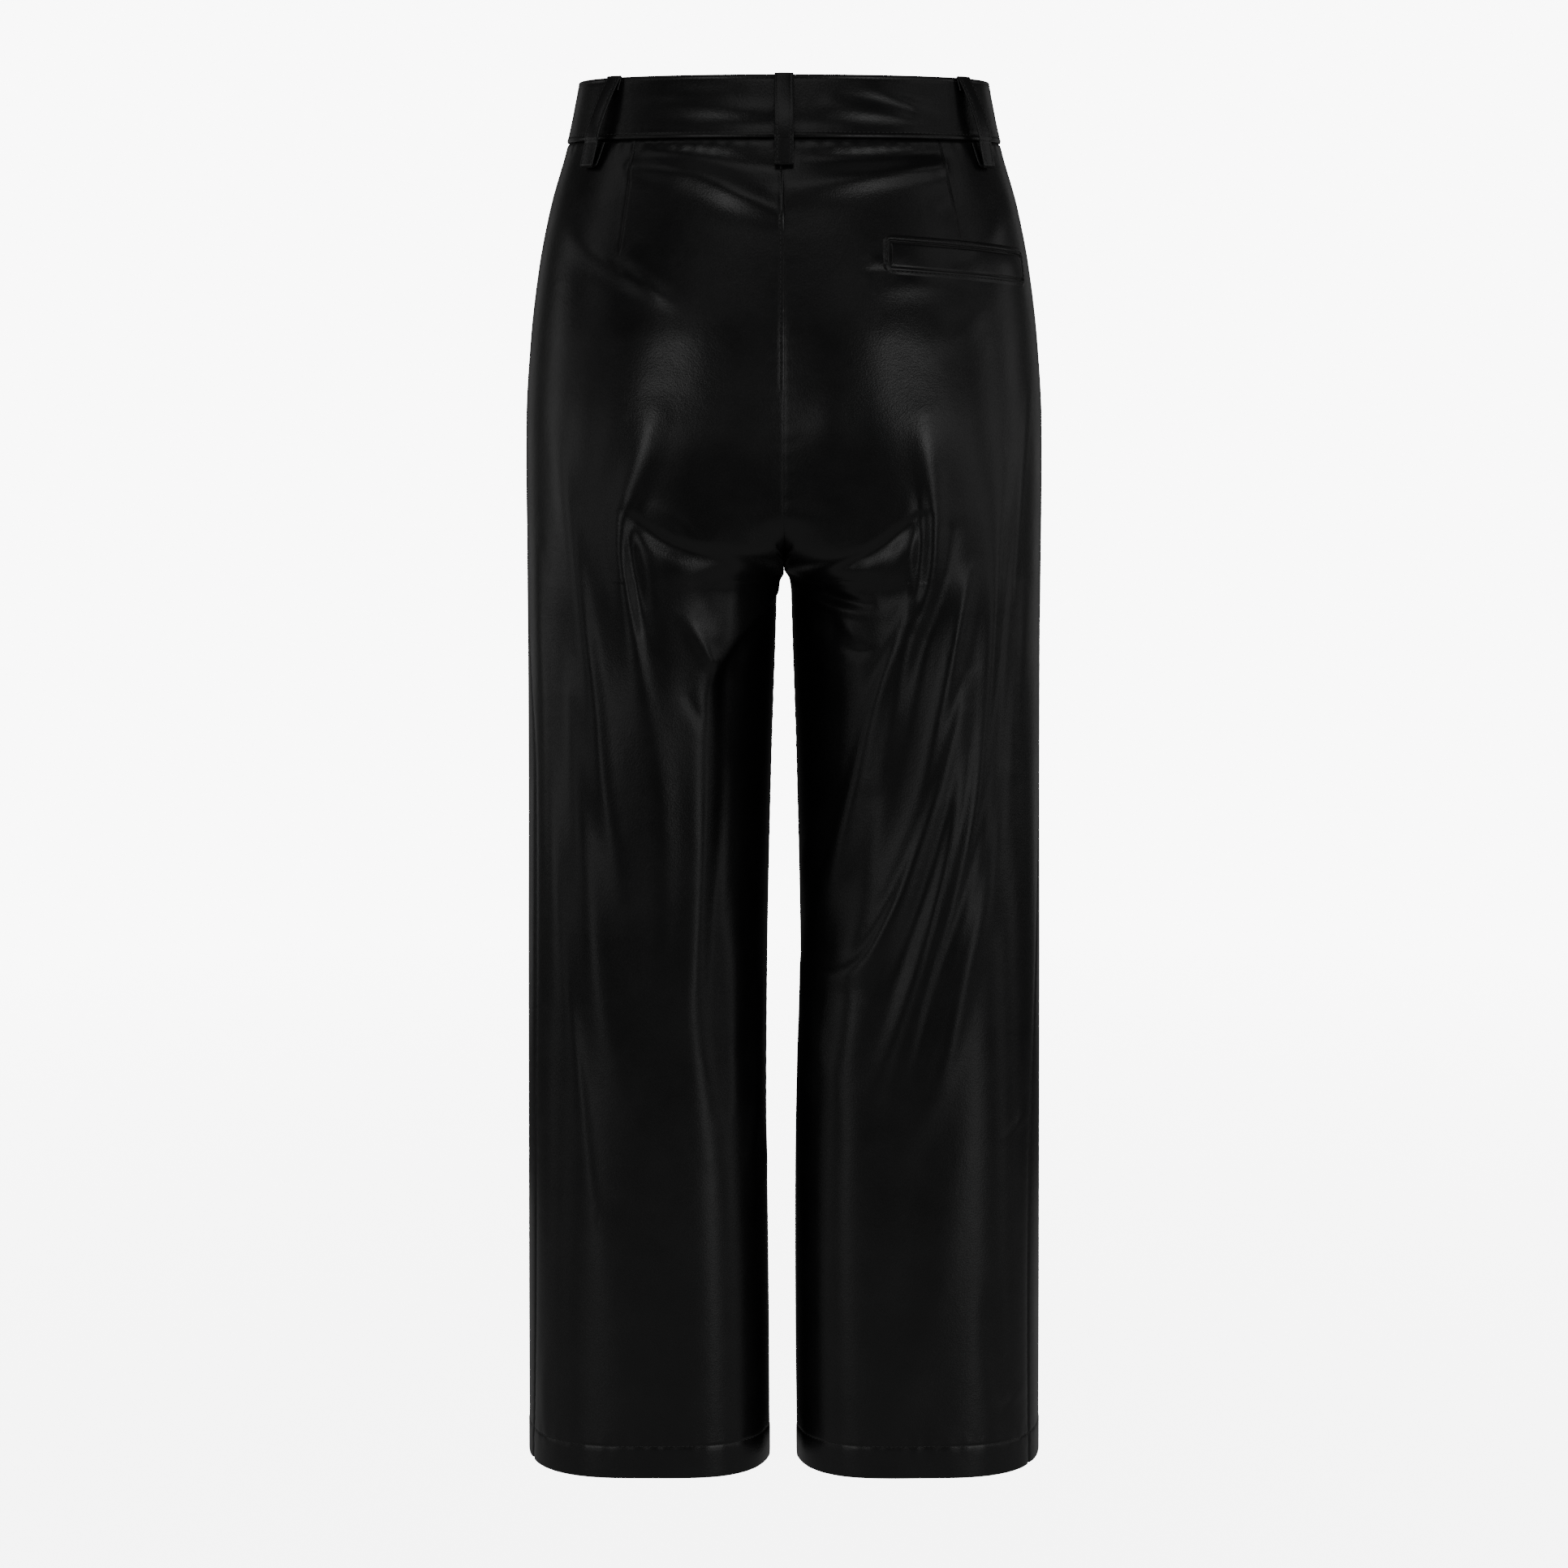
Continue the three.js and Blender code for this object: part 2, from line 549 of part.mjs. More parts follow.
// The button through the right front end of the waistband.
function waistButton() {
  const { radius, thick, rim, dish, edge } = BUTTON;
  const profile = [
    [0, 0], [radius - edge, 0], [radius, edge], [radius, thick - edge], [radius - edge, thick],
    [radius - rim, thick], [radius - rim - edge, thick - dish], [0, thick - dish],
  ];
  const outline = profile.map(([reach, height]) => new THREE.Vector2(reach, height));
  const body = new THREE.LatheGeometry(outline, BUTTON.facets);
  const turn = -Math.PI + Math.asin(BUTTON.across / sectionAt(0).side);
  const half = radius / sectionAt(0).side;
  const foot = ringPoint(turn, 0, BAND_PROUD + LAID_ON);
  const up = ringPoint(turn, radius, 0).sub(ringPoint(turn, -radius, 0));
  const around = ringPoint(turn + half, 0, 0).sub(ringPoint(turn - half, 0, 0));
  const outward = up.cross(around).normalize();
  const mesh = piece("waist_button", body, DARK_BUTTON);
  mesh.position.copy(foot);
  mesh.quaternion.setFromUnitVectors(new THREE.Vector3(0, 1, 0), outward);
  return mesh;
}

const group = new THREE.Group();
group.add(panel("back_left", LEFT, BACK));
group.add(panel("back_right", RIGHT, BACK));
group.add(panel("front_left", LEFT, FRONT));
group.add(panel("front_right", RIGHT, FRONT));
group.add(waistband());
for (const { name, top, foot } of LOOPS) group.add(beltLoop(name, degrees(top), degrees(foot)));
group.add(pocketWelt());
group.add(zip());
group.add(zipSlider());
group.add(waistButton());

export default group;
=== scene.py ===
"""Wide-leg leather trousers in their worn form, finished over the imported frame."""

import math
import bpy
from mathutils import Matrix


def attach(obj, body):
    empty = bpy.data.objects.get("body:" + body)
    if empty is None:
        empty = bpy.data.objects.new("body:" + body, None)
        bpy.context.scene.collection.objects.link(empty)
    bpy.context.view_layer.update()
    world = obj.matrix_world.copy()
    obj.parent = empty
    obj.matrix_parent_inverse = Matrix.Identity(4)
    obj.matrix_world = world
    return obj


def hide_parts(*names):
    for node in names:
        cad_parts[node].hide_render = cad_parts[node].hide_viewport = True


bl_info = {
    "name": "Leather Trousers",
    "version": (1, 0, 0),
    "blender": (4, 5, 0),
    "location": "View3D > Sidebar > Trousers",
    "description": "Panels, waistband, loops, welt pocket, sewing and stage of leather trousers",
    "category": "Add Mesh",
}

from functools import lru_cache

import bpy
import numpy as np
from bpy.props import FloatProperty, FloatVectorProperty, PointerProperty
from bpy.types import Operator, Panel, PropertyGroup
from mathutils import Vector

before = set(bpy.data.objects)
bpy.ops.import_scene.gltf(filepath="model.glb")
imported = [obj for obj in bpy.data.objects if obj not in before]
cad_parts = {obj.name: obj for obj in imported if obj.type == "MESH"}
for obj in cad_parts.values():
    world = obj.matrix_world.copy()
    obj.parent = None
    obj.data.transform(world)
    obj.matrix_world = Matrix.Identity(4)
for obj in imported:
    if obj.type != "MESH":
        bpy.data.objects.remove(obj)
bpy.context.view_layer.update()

# Sizes in the shape functions are millimetres, as on a pattern, and become metres in the meshes.
MM = 0.001
LEFT, RIGHT = 1, -1
BACK, FRONT = 1, -1

# Heights of the main lines
BAND_TOP = 20.0
BAND_FOOT = -20.0
FORK = -300.0
HEM = -902.0
HEM_DEPTH = 22.0
HEM_WALL = 2.8
HALF_GAP = 0.02

# The base form: one leg's oval reaches from side to inner and is deepest at crown
SECTION_COLUMNS = (
    "height", "side", "crown", "inner", "middle", "back", "front",
    "back_round", "front_round", "left_turn", "right_turn",
)
SECTIONS = np.array([
    (20, 134, 0, 0, 0, 98, 96, 2.15, 2.1, 0, 0),
    (-20, 142.5, 0, 0, 0, 107, 101, 2.15, 2.1, 0, 0),
    (-60, 154, 2, 0, 1, 119, 104, 2.2, 2.15, 0, 0),
    (-100, 162, 9, 0, 3, 128, 106, 2.25, 2.2, 1, 1),
    (-150, 168, 25, 0, 5, 137, 107, 2.3, 2.2, 2, 2),
    (-200, 171, 46, 0, 6, 140, 106, 2.35, 2.2, 3, 3),
    (-250, 171.5, 68, 0, 5, 134, 104, 2.35, 2.2, 5, 4),
    (FORK, 171.5, 85, HALF_GAP, 4, 126, 101.5, 2.3, 2.2, 10.5, 5.5),
    (-306, 171.5, 86.5, 3.4, 4, 125, 101, 2.3, 2.2, 11, 6),
    (-316, 171.5, 87.5, 4.7, 4, 123.5, 100.5, 2.3, 2.2, 13, 6),
    (-330, 171.5, 88, 5.1, 4, 121.5, 100, 2.3, 2.2, 14, 7),
    (-430, 171.8, 90, 8.4, 4, 112, 97, 2.5, 2.3, 29, 11),
    (-560, 172.8, 92, 11.2, 4, 103, 93, 2.9, 2.3, 31, 23),
    (-650, 173.5, 93, 12, 4, 99, 90, 3, 2.3, 30, 32),
    (-775, 174.5, 93.5, 12.3, 4, 98, 87, 3, 2.3, 29, 35),
    (HEM, 175.4, 94, 12.4, 4, 97, 85, 2.9, 2.2, 24, 33),
], float)
SEAT_RISE = 45.0
FLY_RISE = 115.0
CLEFT_SHARE = 0.015
CLEFT_CROWN = 50.0
CLEFT_LEAST = 0.001
ROW_SAMPLES = 360
FOLD_FADE = 0.35
FOLD_DEPTH = 1.15
FOLD_REACH = 1.2
LEG_SHARE = 0.6
LEG_SHARE_FROM = -330.0
LEG_SHARE_OVER = 80.0

# Folds. A fold's points are (from the centre line, height, reach to each side, how far out), and
# below zero it is a trough. Where there is a fifth value the two sides differ: the third is then
# the reach towards the centre line, or upwards where the points run inwards, and the fifth the
# reach to the other side. Each value belongs to its own point, so that no fold is even.
PANEL_FOLDS = [
    # Left back: under the waist seam and over the hip
    (BACK, LEFT, [(82, -24, 2.6, 0.2), (48, -24.5, 3, 0.4), (12, -25, 2.6, 0.2)]),
    (BACK, LEFT, [(82, -28, 3, -0.4), (62, -31, 4, -1.2), (36, -36, 5, -1.6), (4, -40.5, 5, -1.0)]),
    (BACK, LEFT, [(97, -37, 4, 1.4, 5), (70, -40, 5, 2.8, 7), (50, -44, 6, 2.6, 8), (26, -56, 7, 3.0, 8),
                  (4, -66, 6, 1.6, 6)]),
    (BACK, LEFT, [(142, -72, 8, 0.4), (125, -90, 8, 1.2), (103, -103, 7, 1.8), (85, -114, 6, 2.2),
                  (72, -122, 5, 0.6)]),
    (BACK, LEFT, [(100, -84, 5, 0.2), (92, -88, 6, 0.8), (80, -93, 6, 0.2)]),
    # Left back: the seat and the creases under it
    (BACK, LEFT, [(68, -140, 14, -0.2), (70, -175, 17, -0.9), (76, -200, 13, -0.3)]),
    (BACK, LEFT, [(82, -196, 9, 0.6, 9), (90, -222, 8, 1.8, 8), (101, -250, 6, 2.8, 8), (104, -275, 3.5, 3.0, 7),
                  (101, -305, 3.5, 2.8, 7), (96, -340, 5, 2.2, 8), (91, -380, 7, 1.8, 9), (82, -425, 9, 1.8, 11),
                  (79, -480, 10, 2.0, 12), (80, -541, 10, 1.6, 12), (82, -590, 10, 0.4, 12)]),
    (BACK, LEFT, [(99, -264, 3, -0.6), (97, -285, 3.5, -1.8), (93, -305, 4, -1.8), (89, -328, 5, -0.6)]),
    (BACK, LEFT, [(101, -255, 3, -0.6, 4), (88, -265, 3, -2.4, 5), (74, -275, 3, -3.0, 6), (58, -281, 3.5, -2.6, 6),
                  (40, -284, 4, -2.0, 6), (20, -290, 4, -1.8, 6), (3, -297, 4, -1.4, 6)]),
    (BACK, LEFT, [(80, -252, 4, 0.3), (68, -259, 4, 0.8), (56, -272, 4, 0.4)]),
    (BACK, LEFT, [(92, -272, 5, 0.5), (85, -290, 6, 1.2), (84, -316, 5, 0.4)]),
    (BACK, LEFT, [(78, -286, 8, 0.4), (62, -296, 10, 1.0), (52, -312, 9, 0.5)]),
    (BACK, LEFT, [(40, -288, 5, 0.4), (33, -303, 5, 1.2), (38, -324, 5, 0.4)]),
    (BACK, LEFT, [(24, -298, 4, 0.3), (15, -304, 4, 0.8), (7, -306, 4, 0.3)]),
    (BACK, LEFT, [(40, -284, 14, 1.5), (24, -286, 14, 6.5), (8, -286, 11, 8.0)]),
    (BACK, LEFT, [(3, -309, 3, 2.6, 14), (13, -316, 3, 5.0, 18), (22, -324, 3, 6.6, 20), (32, -335, 3, 7.0, 19),
                  (40, -347, 3, 6.0, 15), (47, -359, 3.4, 4.0, 10), (50, -374, 5, 2.6, 7), (52, -400, 6, 3.0, 8),
                  (53, -440, 6, 3.4, 9), (54, -480, 5, 3.2, 8), (57, -530, 5, 2.8, 8), (60, -572, 6, 2.6, 9),
                  (61, -590, 7, 2.6, 9), (57, -625, 8, 1.6, 9), (50, -680, 8, 0.6, 9)]),
    (BACK, LEFT, [(62, -325, 4, 0.5), (55, -338, 3.5, 1.8), (49, -352, 3, 1.8)]),
    (BACK, LEFT, [(5, -318, 6, -1.6, 2.5), (18, -331, 7, -2.6, 2.5), (30, -347, 8, -2.8, 3), (38, -364, 8, -2.6, 3),
                  (38, -400, 8, -2.2, 4), (39, -460, 7, -2.2, 4), (45, -520, 6, -1.8, 4), (47, -592, 6, -1.2, 4),
                  (42, -650, 6, -0.5, 5)]),
    (BACK, LEFT, [(22, -366, 10, -1.0), (22, -450, 12, -2.2), (20, -530, 11, -2.0), (16, -566, 6, -0.8)]),
    (BACK, LEFT, [(15, -340, 3, 0.3), (20, -349, 3, 1.0), (24, -358, 3, 0.3)]),
    (BACK, LEFT, [(31, -351, 3, 0.3), (34, -358, 3, 0.9), (33, -367, 3, 0.3)]),
    (BACK, LEFT, [(62, -375, 2.6, -0.4), (57, -386, 2.6, -1.0), (54, -395, 2.6, -0.3)]),
    # Left back: down the leg
    (BACK, LEFT, [(161, -288, 4, 0.5, 5), (159, -340, 4, 1.2, 6), (156, -400, 5, 1.6, 7), (155, -450, 6, 1.8, 8),
                  (150, -510, 7, 1.8, 9), (144, -565, 6, 1.6, 9), (138, -605, 4, 1.6, 9), (134, -640, 3, 1.6, 9),
                  (129, -690, 3, 1.4, 9), (126, -718, 3.4, 0.5, 9)]),
    (BACK, LEFT, [(145, -212, 6, 0.4, 8), (139, -250, 6, 1.3, 8), (133, -285, 5, 1.9, 8), (127, -335, 4.5, 2.3, 8),
                  (121, -380, 4, 2.2, 7), (118, -425, 3.5, 1.8, 6), (112, -465, 3.5, 1.2, 6), (106, -505, 4, 0.4, 6)]),
    (BACK, LEFT, [(141, -376, 4, 0.4, 5), (137, -435, 6, 1.0, 7), (130, -480, 7, 1.7, 9), (125, -540, 8, 2.0, 10),
                  (119, -585, 8, 2.0, 10), (110, -622, 8, 1.6, 10), (95, -664, 8, 0.6, 10)]),
    (BACK, LEFT, [(33, -426, 2.8, 0.3), (37, -485, 3, 0.7), (43, -532, 2.8, 0.2)]),
    (BACK, LEFT, [(29, -510, 4, 0.4), (30, -560, 5, 1.4), (33, -625, 4.5, 1.3), (34, -656, 4, 0.4)]),
    (BACK, LEFT, [(17, -558, 4, 0.4, 2.2), (16, -585, 4, 1.5, 2.2), (19, -620, 4, 2.0, 2.2), (20, -655, 4, 1.9, 2.2),
                  (26, -690, 4, 0.5, 2.4)]),
    (BACK, LEFT, [(15, -683, 2.4, 0.3), (15, -694, 2.4, 0.8), (14, -705, 2.4, 0.3)]),
    (BACK, LEFT, [(128, -712, 10, 0.3), (120, -755, 11, 1.1), (110, -800, 12, 1.2), (106, -864, 12, 0.5)]),
    (BACK, LEFT, [(24, -610, 14, 0.5, 22), (23, -690, 15, 6.0, 26), (23, -790, 15, 9.0, 28),
                  (23, -898, 15, 10.0, 28)]),
    (BACK, LEFT, [(50, -690, 9, 0.3), (52, -750, 10, 0.6), (50, -854, 10, 0.3)]),
    (BACK, LEFT, [(159, -820, 3, 0.3), (162, -846, 3, 1.0), (161, -876, 3, 0.5)]),
    # Right back: under the waist seam and round the pocket
    (BACK, RIGHT, [(8, -25.5, 2.8, 0.2), (40, -25, 3.2, 0.4), (98, -24, 2.8, 0.2)]),
    (BACK, RIGHT, [(14, -33.5, 3.4, -0.5), (40, -33.5, 4, -1.4), (66, -32.5, 4, -1.4), (96, -29, 3.4, -0.5)]),
    (BACK, RIGHT, [(2, -51, 9, 1.2, 7), (24, -48, 8, 2.0, 7), (52, -44, 7, 2.6, 6), (80, -39.5, 6, 3.2, 5),
                   (98, -37.5, 5, 3.0, 4), (105, -37, 3, 0.4, 3)]),
    (BACK, RIGHT, [(92, -66, 5, 0.2), (101, -64, 6, 0.9), (110, -62, 5, 0.2)]),
    (BACK, RIGHT, [(56, -112, 7, 0.3), (80, -110, 8, 1.4), (98, -110, 8, 1.2), (120, -114, 8, 0.3)]),
    (BACK, RIGHT, [(50, -97.5, 2.6, 0.2), (57, -98.5, 2.6, 1.0), (64, -99.5, 2.4, 0.9)]),
    (BACK, RIGHT, [(50, -103, 3, -0.2), (58, -103.5, 3, -0.8), (66, -105, 3, -0.5)]),
    (BACK, RIGHT, [(134, -118, 7, 0.2), (118, -134, 8, 0.7), (96, -150, 9, 0.3)]),
    (BACK, RIGHT, [(20, -216, 10, 0.2), (28, -198, 11, 1.1), (38, -176, 10, 0.3)]),
    (BACK, RIGHT, [(74, -134, 12, -0.2), (76, -168, 15, -0.9), (82, -196, 12, -0.3)]),
    (BACK, RIGHT, [(126, -86, 6, 0.2), (138, -76, 7, 0.8), (150, -62, 7, 0.5)]),
    # Right back: the seat and the creases under it
    (BACK, RIGHT, [(88, -196, 9, 0.5, 9), (92, -225, 7, 1.6, 8), (94, -255, 4, 2.2, 7), (95, -280, 3.6, 2.4, 7),
                   (93, -300, 3.6, 2.2, 7), (86, -325, 4, 0.8, 7)]),
    (BACK, RIGHT, [(86, -243, 3.4, -0.4), (88, -260, 3.6, -1.2), (86, -277, 3.6, -1.4), (85, -300, 3.6, -1.1),
                   (82, -321, 3.4, -0.4)]),
    (BACK, RIGHT, [(85, -262, 2.4, 0.3), (81, -285, 2.4, 1.1), (82, -308, 2.4, 1.0), (79, -327, 2.4, 0.3)]),
    (BACK, RIGHT, [(86, -258, 3, -0.8, 5), (74, -267, 3, -2.4, 6), (62, -277, 3, -2.8, 6), (47, -285, 3, -2.6, 6),
                   (28, -292, 3, -2.2, 6), (4, -299, 3, -1.6, 6)]),
    (BACK, RIGHT, [(80, -267, 5, 0.5), (77, -280, 6, 1.3), (72, -293, 5, 0.5)]),
    (BACK, RIGHT, [(52, -291, 5, 0.4), (38, -296, 5, 1.2), (24, -300, 4, 0.4)]),
    (BACK, RIGHT, [(44, -286, 14, 1.5), (26, -289, 15, 7.0), (8, -288, 11, 8.0)]),
    (BACK, RIGHT, [(76, -304, 6, -0.5), (69, -308, 7, -1.1), (60, -308, 6, -0.4)]),
    (BACK, RIGHT, [(3, -300, 3, -1.0, 2.6), (18, -306, 3, -2.8, 2.6), (34, -312, 3, -3.0, 2.6), (54, -315, 3, -0.9, 2.6)]),
    (BACK, RIGHT, [(5, -306, 2.4, 0.4), (18, -313, 2.5, 1.3), (32, -319, 2.5, 1.3), (51, -322, 2.4, 0.4)]),
    (BACK, RIGHT, [(16, -322, 2.6, 0.4), (19, -332, 2.8, 1.2), (18, -343, 2.6, 0.4)]),
    (BACK, RIGHT, [(36, -325, 3, 0.5), (43, -332, 3.2, 1.3), (49, -339, 2.8, 0.4)]),
    (BACK, RIGHT, [(30, -325, 2.5, -0.4), (32, -334, 2.6, -1.2), (30, -343, 2.5, -0.4)]),
    (BACK, RIGHT, [(39, -344, 2.6, -0.4), (47, -347, 2.8, -1.2), (55, -345, 2.6, -0.4)]),
    (BACK, RIGHT, [(19, -356, 2.6, 0.3), (26, -359, 2.8, 1.0), (33, -357, 2.6, 0.3)]),
    (BACK, RIGHT, [(14, -350, 8, -0.8, 10), (28, -378, 11, -2.8, 15), (26, -420, 11, -2.4, 13), (16, -472, 8, -0.6, 10)]),
    # Right back: down the leg
    (BACK, RIGHT, [(82, -315, 4, 0.6, 6), (74, -338, 4, 2.0, 7), (62, -369, 4, 2.8, 7), (53, -402, 4, 3.2, 8),
                   (45, -436, 4, 3.2, 8), (37, -468, 4, 3.0, 7), (28, -500, 4, 2.5, 6), (20, -527, 4, 1.9, 6),
                   (12, -553, 4, 0.8, 6)]),
    (BACK, RIGHT, [(85, -325, 3, 0.3), (78, -350, 3.4, 1.0), (70, -385, 3.4, 1.0), (60, -434, 3, 0.3)]),
    (BACK, RIGHT, [(106, -268, 5, -0.6), (100, -310, 6, -1.5), (90, -346, 6, -2.0), (84, -385, 6, -2.0),
                   (74, -440, 6, -1.3), (62, -492, 6, -0.4)]),
    (BACK, RIGHT, [(119, -294, 4, 0.5, 5), (111, -330, 4, 2.0, 6), (103, -370, 4, 2.6, 6), (97, -400, 4, 2.4, 6),
                   (90, -438, 4, 1.8, 6), (80, -470, 5, 1.3, 6), (66, -500, 5, 0.4, 6)]),
    (BACK, RIGHT, [(119, -364, 4, 0.5, 5), (112, -392, 4, 1.8, 6), (104, -422, 4, 2.4, 6), (96, -449, 4, 3.2, 7),
                   (86, -478, 4, 3.8, 8), (75, -507, 3.5, 4.2, 9), (64, -529, 3, 4.4, 10), (54, -547, 2.6, 4.0, 10),
                   (42, -558, 2.6, 3.0, 9), (28, -562, 2.6, 2.2, 8), (11, -562, 2.6, 1.2, 8)]),
    (BACK, RIGHT, [(11, -564, 4, 0.6), (20, -586, 4.5, 1.3), (28, -612, 5, 1.3), (36, -642, 6, 0.4)]),
    (BACK, RIGHT, [(46, -560, 7, 0.8), (46, -595, 8, 1.8), (40, -625, 8, 1.5), (38, -660, 8, 0.4)]),
    (BACK, RIGHT, [(117, -385, 3, 0.4, 3), (115, -430, 4, 1.4, 3), (108, -470, 5, 2.4, 3.2),
                   (99, -508, 5.5, 2.6, 3.4), (90, -543, 5.5, 2.6, 3.4), (80, -578, 5.5, 2.3, 3.6),
                   (70, -610, 6, 1.6, 4), (58, -642, 7, 0.5, 5)]),
    (BACK, RIGHT, [(140, -224, 10, 0.5, 6), (136, -265, 10, 1.5, 5), (135, -305, 8, 2.2, 4), (133, -350, 7, 2.6, 4),
                   (129, -400, 6, 2.8, 4), (125, -440, 5.5, 2.8, 4), (117, -480, 5.5, 2.6, 4),
                   (107, -520, 5, 2.4, 4), (95, -558, 5, 2.0, 4), (84, -600, 5, 1.4, 4), (79, -627, 5, 0.4, 4)]),
    (BACK, RIGHT, [(159, -180, 3, 0.3), (152, -240, 3, 0.8), (148, -300, 3, 0.9), (142, -352, 3, 0.9),
                   (138, -410, 3, 0.8), (131, -460, 3, 0.8), (117, -525, 3, 0.7), (100, -580, 3, 0.6),
                   (88, -624, 3, 0.2)]),
    (BACK, RIGHT, [(156, -308, 5, 0.4), (153, -345, 6, 1.4), (150, -390, 6, 1.3), (148, -427, 5, 0.4)]),
    (BACK, RIGHT, [(145, -428, 6, 0.5), (138, -470, 7, 1.3), (131, -512, 8, 2.2), (121, -548, 8, 2.8, 6),
                   (114, -580, 8, 2.8, 6), (107, -615, 8, 2.5, 6), (96, -650, 9, 1.4), (80, -676, 9, 0.5)]),
    (BACK, RIGHT, [(22, -452, 2.4, 0.3), (15, -478, 2.4, 1.3), (11, -506, 2.4, 0.5)]),
    (BACK, RIGHT, [(106, -450, 4, -0.4), (96, -492, 5, -1.5), (84, -526, 5, -1.7), (72, -562, 6, -1.3),
                   (60, -606, 6, -0.4)]),
    (BACK, RIGHT, [(56, -444, 7, -0.6), (46, -490, 9, -1.8), (36, -528, 9, -2.0), (26, -549, 7, -1.2)]),
    (BACK, RIGHT, [(72, -642, 9, -0.4), (60, -676, 10, -1.3), (54, -730, 12, -1.1), (52, -804, 14, -0.4)]),
    (BACK, RIGHT, [(108, -694, 12, 0.4), (106, -745, 12, 1.3), (97, -800, 12, 1.3), (82, -850, 12, 0.9),
                   (76, -894, 12, 0.4)]),
    (BACK, RIGHT, [(140, -766, 6, -0.4), (139, -800, 7, -1.7), (143, -840, 7, -1.1), (149, -866, 6, -0.4)]),
    (BACK, RIGHT, [(145, -860, 3, 0.4), (154, -852, 3, 1.1), (161, -846, 3, 0.4)]),
    (BACK, RIGHT, [(160, -655, 2.8, 0.3), (154, -665, 2.8, 1.0), (148, -671, 2.8, 0.3)]),
    (BACK, RIGHT, [(26, -545, 12, 1.0, 20), (24, -590, 15, 10.0, 28), (23, -680, 15, 14.0, 30),
                   (23, -800, 15, 14.0, 30), (23, -898, 15, 12.0, 30)]),
    # Left front
    (FRONT, LEFT, [(92, -24, 3, 0.3), (50, -25, 3.5, 0.6), (38, -24.5, 3, 0.3)]),
    (FRONT, LEFT, [(96, -34, 6, -0.5), (64, -38, 7, -1.2), (38, -44, 6, -0.6)]),
    (FRONT, LEFT, [(106, -54, 8, 0.6), (70, -60, 10, 1.6), (38, -72, 9, 0.8)]),
    (FRONT, LEFT, [(4, -258, 6, -1.0), (36, -248, 8, -2.4), (72, -232, 9, -2.4), (104, -214, 8, -0.8)]),
    (FRONT, LEFT, [(5, -280, 6, -0.8), (28, -276, 7, -1.8), (54, -262, 7, -0.8)]),
    (FRONT, LEFT, [(12, -296, 8, 1.2), (34, -334, 11, 2.6), (50, -380, 13, 2.8), (62, -440, 14, 1.4)]),
    (FRONT, LEFT, [(124, -290, 10, 0.8), (108, -370, 13, 2.4), (98, -460, 14, 2.8), (102, -570, 14, 1.2)]),
    (FRONT, LEFT, [(36, -440, 10, -0.8), (46, -510, 13, -2.2), (54, -590, 12, -0.8)]),
    (FRONT, LEFT, [(140, -380, 7, 0.6), (132, -470, 8, 1.6), (118, -560, 8, 1.6), (104, -640, 7, 0.6)]),
    (FRONT, LEFT, [(22, -540, 5, 0.5), (26, -610, 5, 1.4), (34, -680, 5, 0.5)]),
    (FRONT, LEFT, [(96, -650, 16, 0.5), (90, -750, 18, 1.4), (94, -880, 18, 0.8)]),
    # Right front
    (FRONT, RIGHT, [(88, -24, 3, 0.3), (54, -25, 3.5, 0.6), (40, -24.5, 3, 0.3)]),
    (FRONT, RIGHT, [(90, -36, 6, -0.5), (60, -40, 7, -1.3), (38, -42, 6, -0.5)]),
    (FRONT, RIGHT, [(100, -56, 8, 0.6), (66, -64, 10, 1.8), (40, -70, 9, 0.8)]),
    (FRONT, RIGHT, [(4, -264, 6, -1.0), (38, -256, 8, -2.6), (70, -244, 9, -2.2), (98, -230, 8, -0.8)]),
    (FRONT, RIGHT, [(5, -284, 5, -0.8), (24, -280, 6, -1.6), (46, -270, 6, -0.6)]),
    (FRONT, RIGHT, [(12, -300, 8, 1.2), (38, -346, 11, 2.8), (54, -396, 13, 3.0), (60, -465, 13, 1.4)]),
    (FRONT, RIGHT, [(128, -310, 10, 0.8), (112, -390, 13, 2.2), (102, -480, 13, 2.6), (95, -600, 13, 1.0)]),
    (FRONT, RIGHT, [(32, -470, 10, -0.8), (38, -540, 12, -2.2), (46, -612, 11, -0.8)]),
    (FRONT, RIGHT, [(146, -360, 7, 0.5), (138, -450, 8, 1.5), (126, -540, 8, 1.5), (112, -600, 7, 0.5)]),
    (FRONT, RIGHT, [(70, -560, 6, 0.5), (62, -630, 7, 1.2), (50, -700, 6, 0.4)]),
    (FRONT, RIGHT, [(104, -680, 16, 0.5), (98, -780, 18, 1.2), (92, -885, 18, 0.8)]),
]
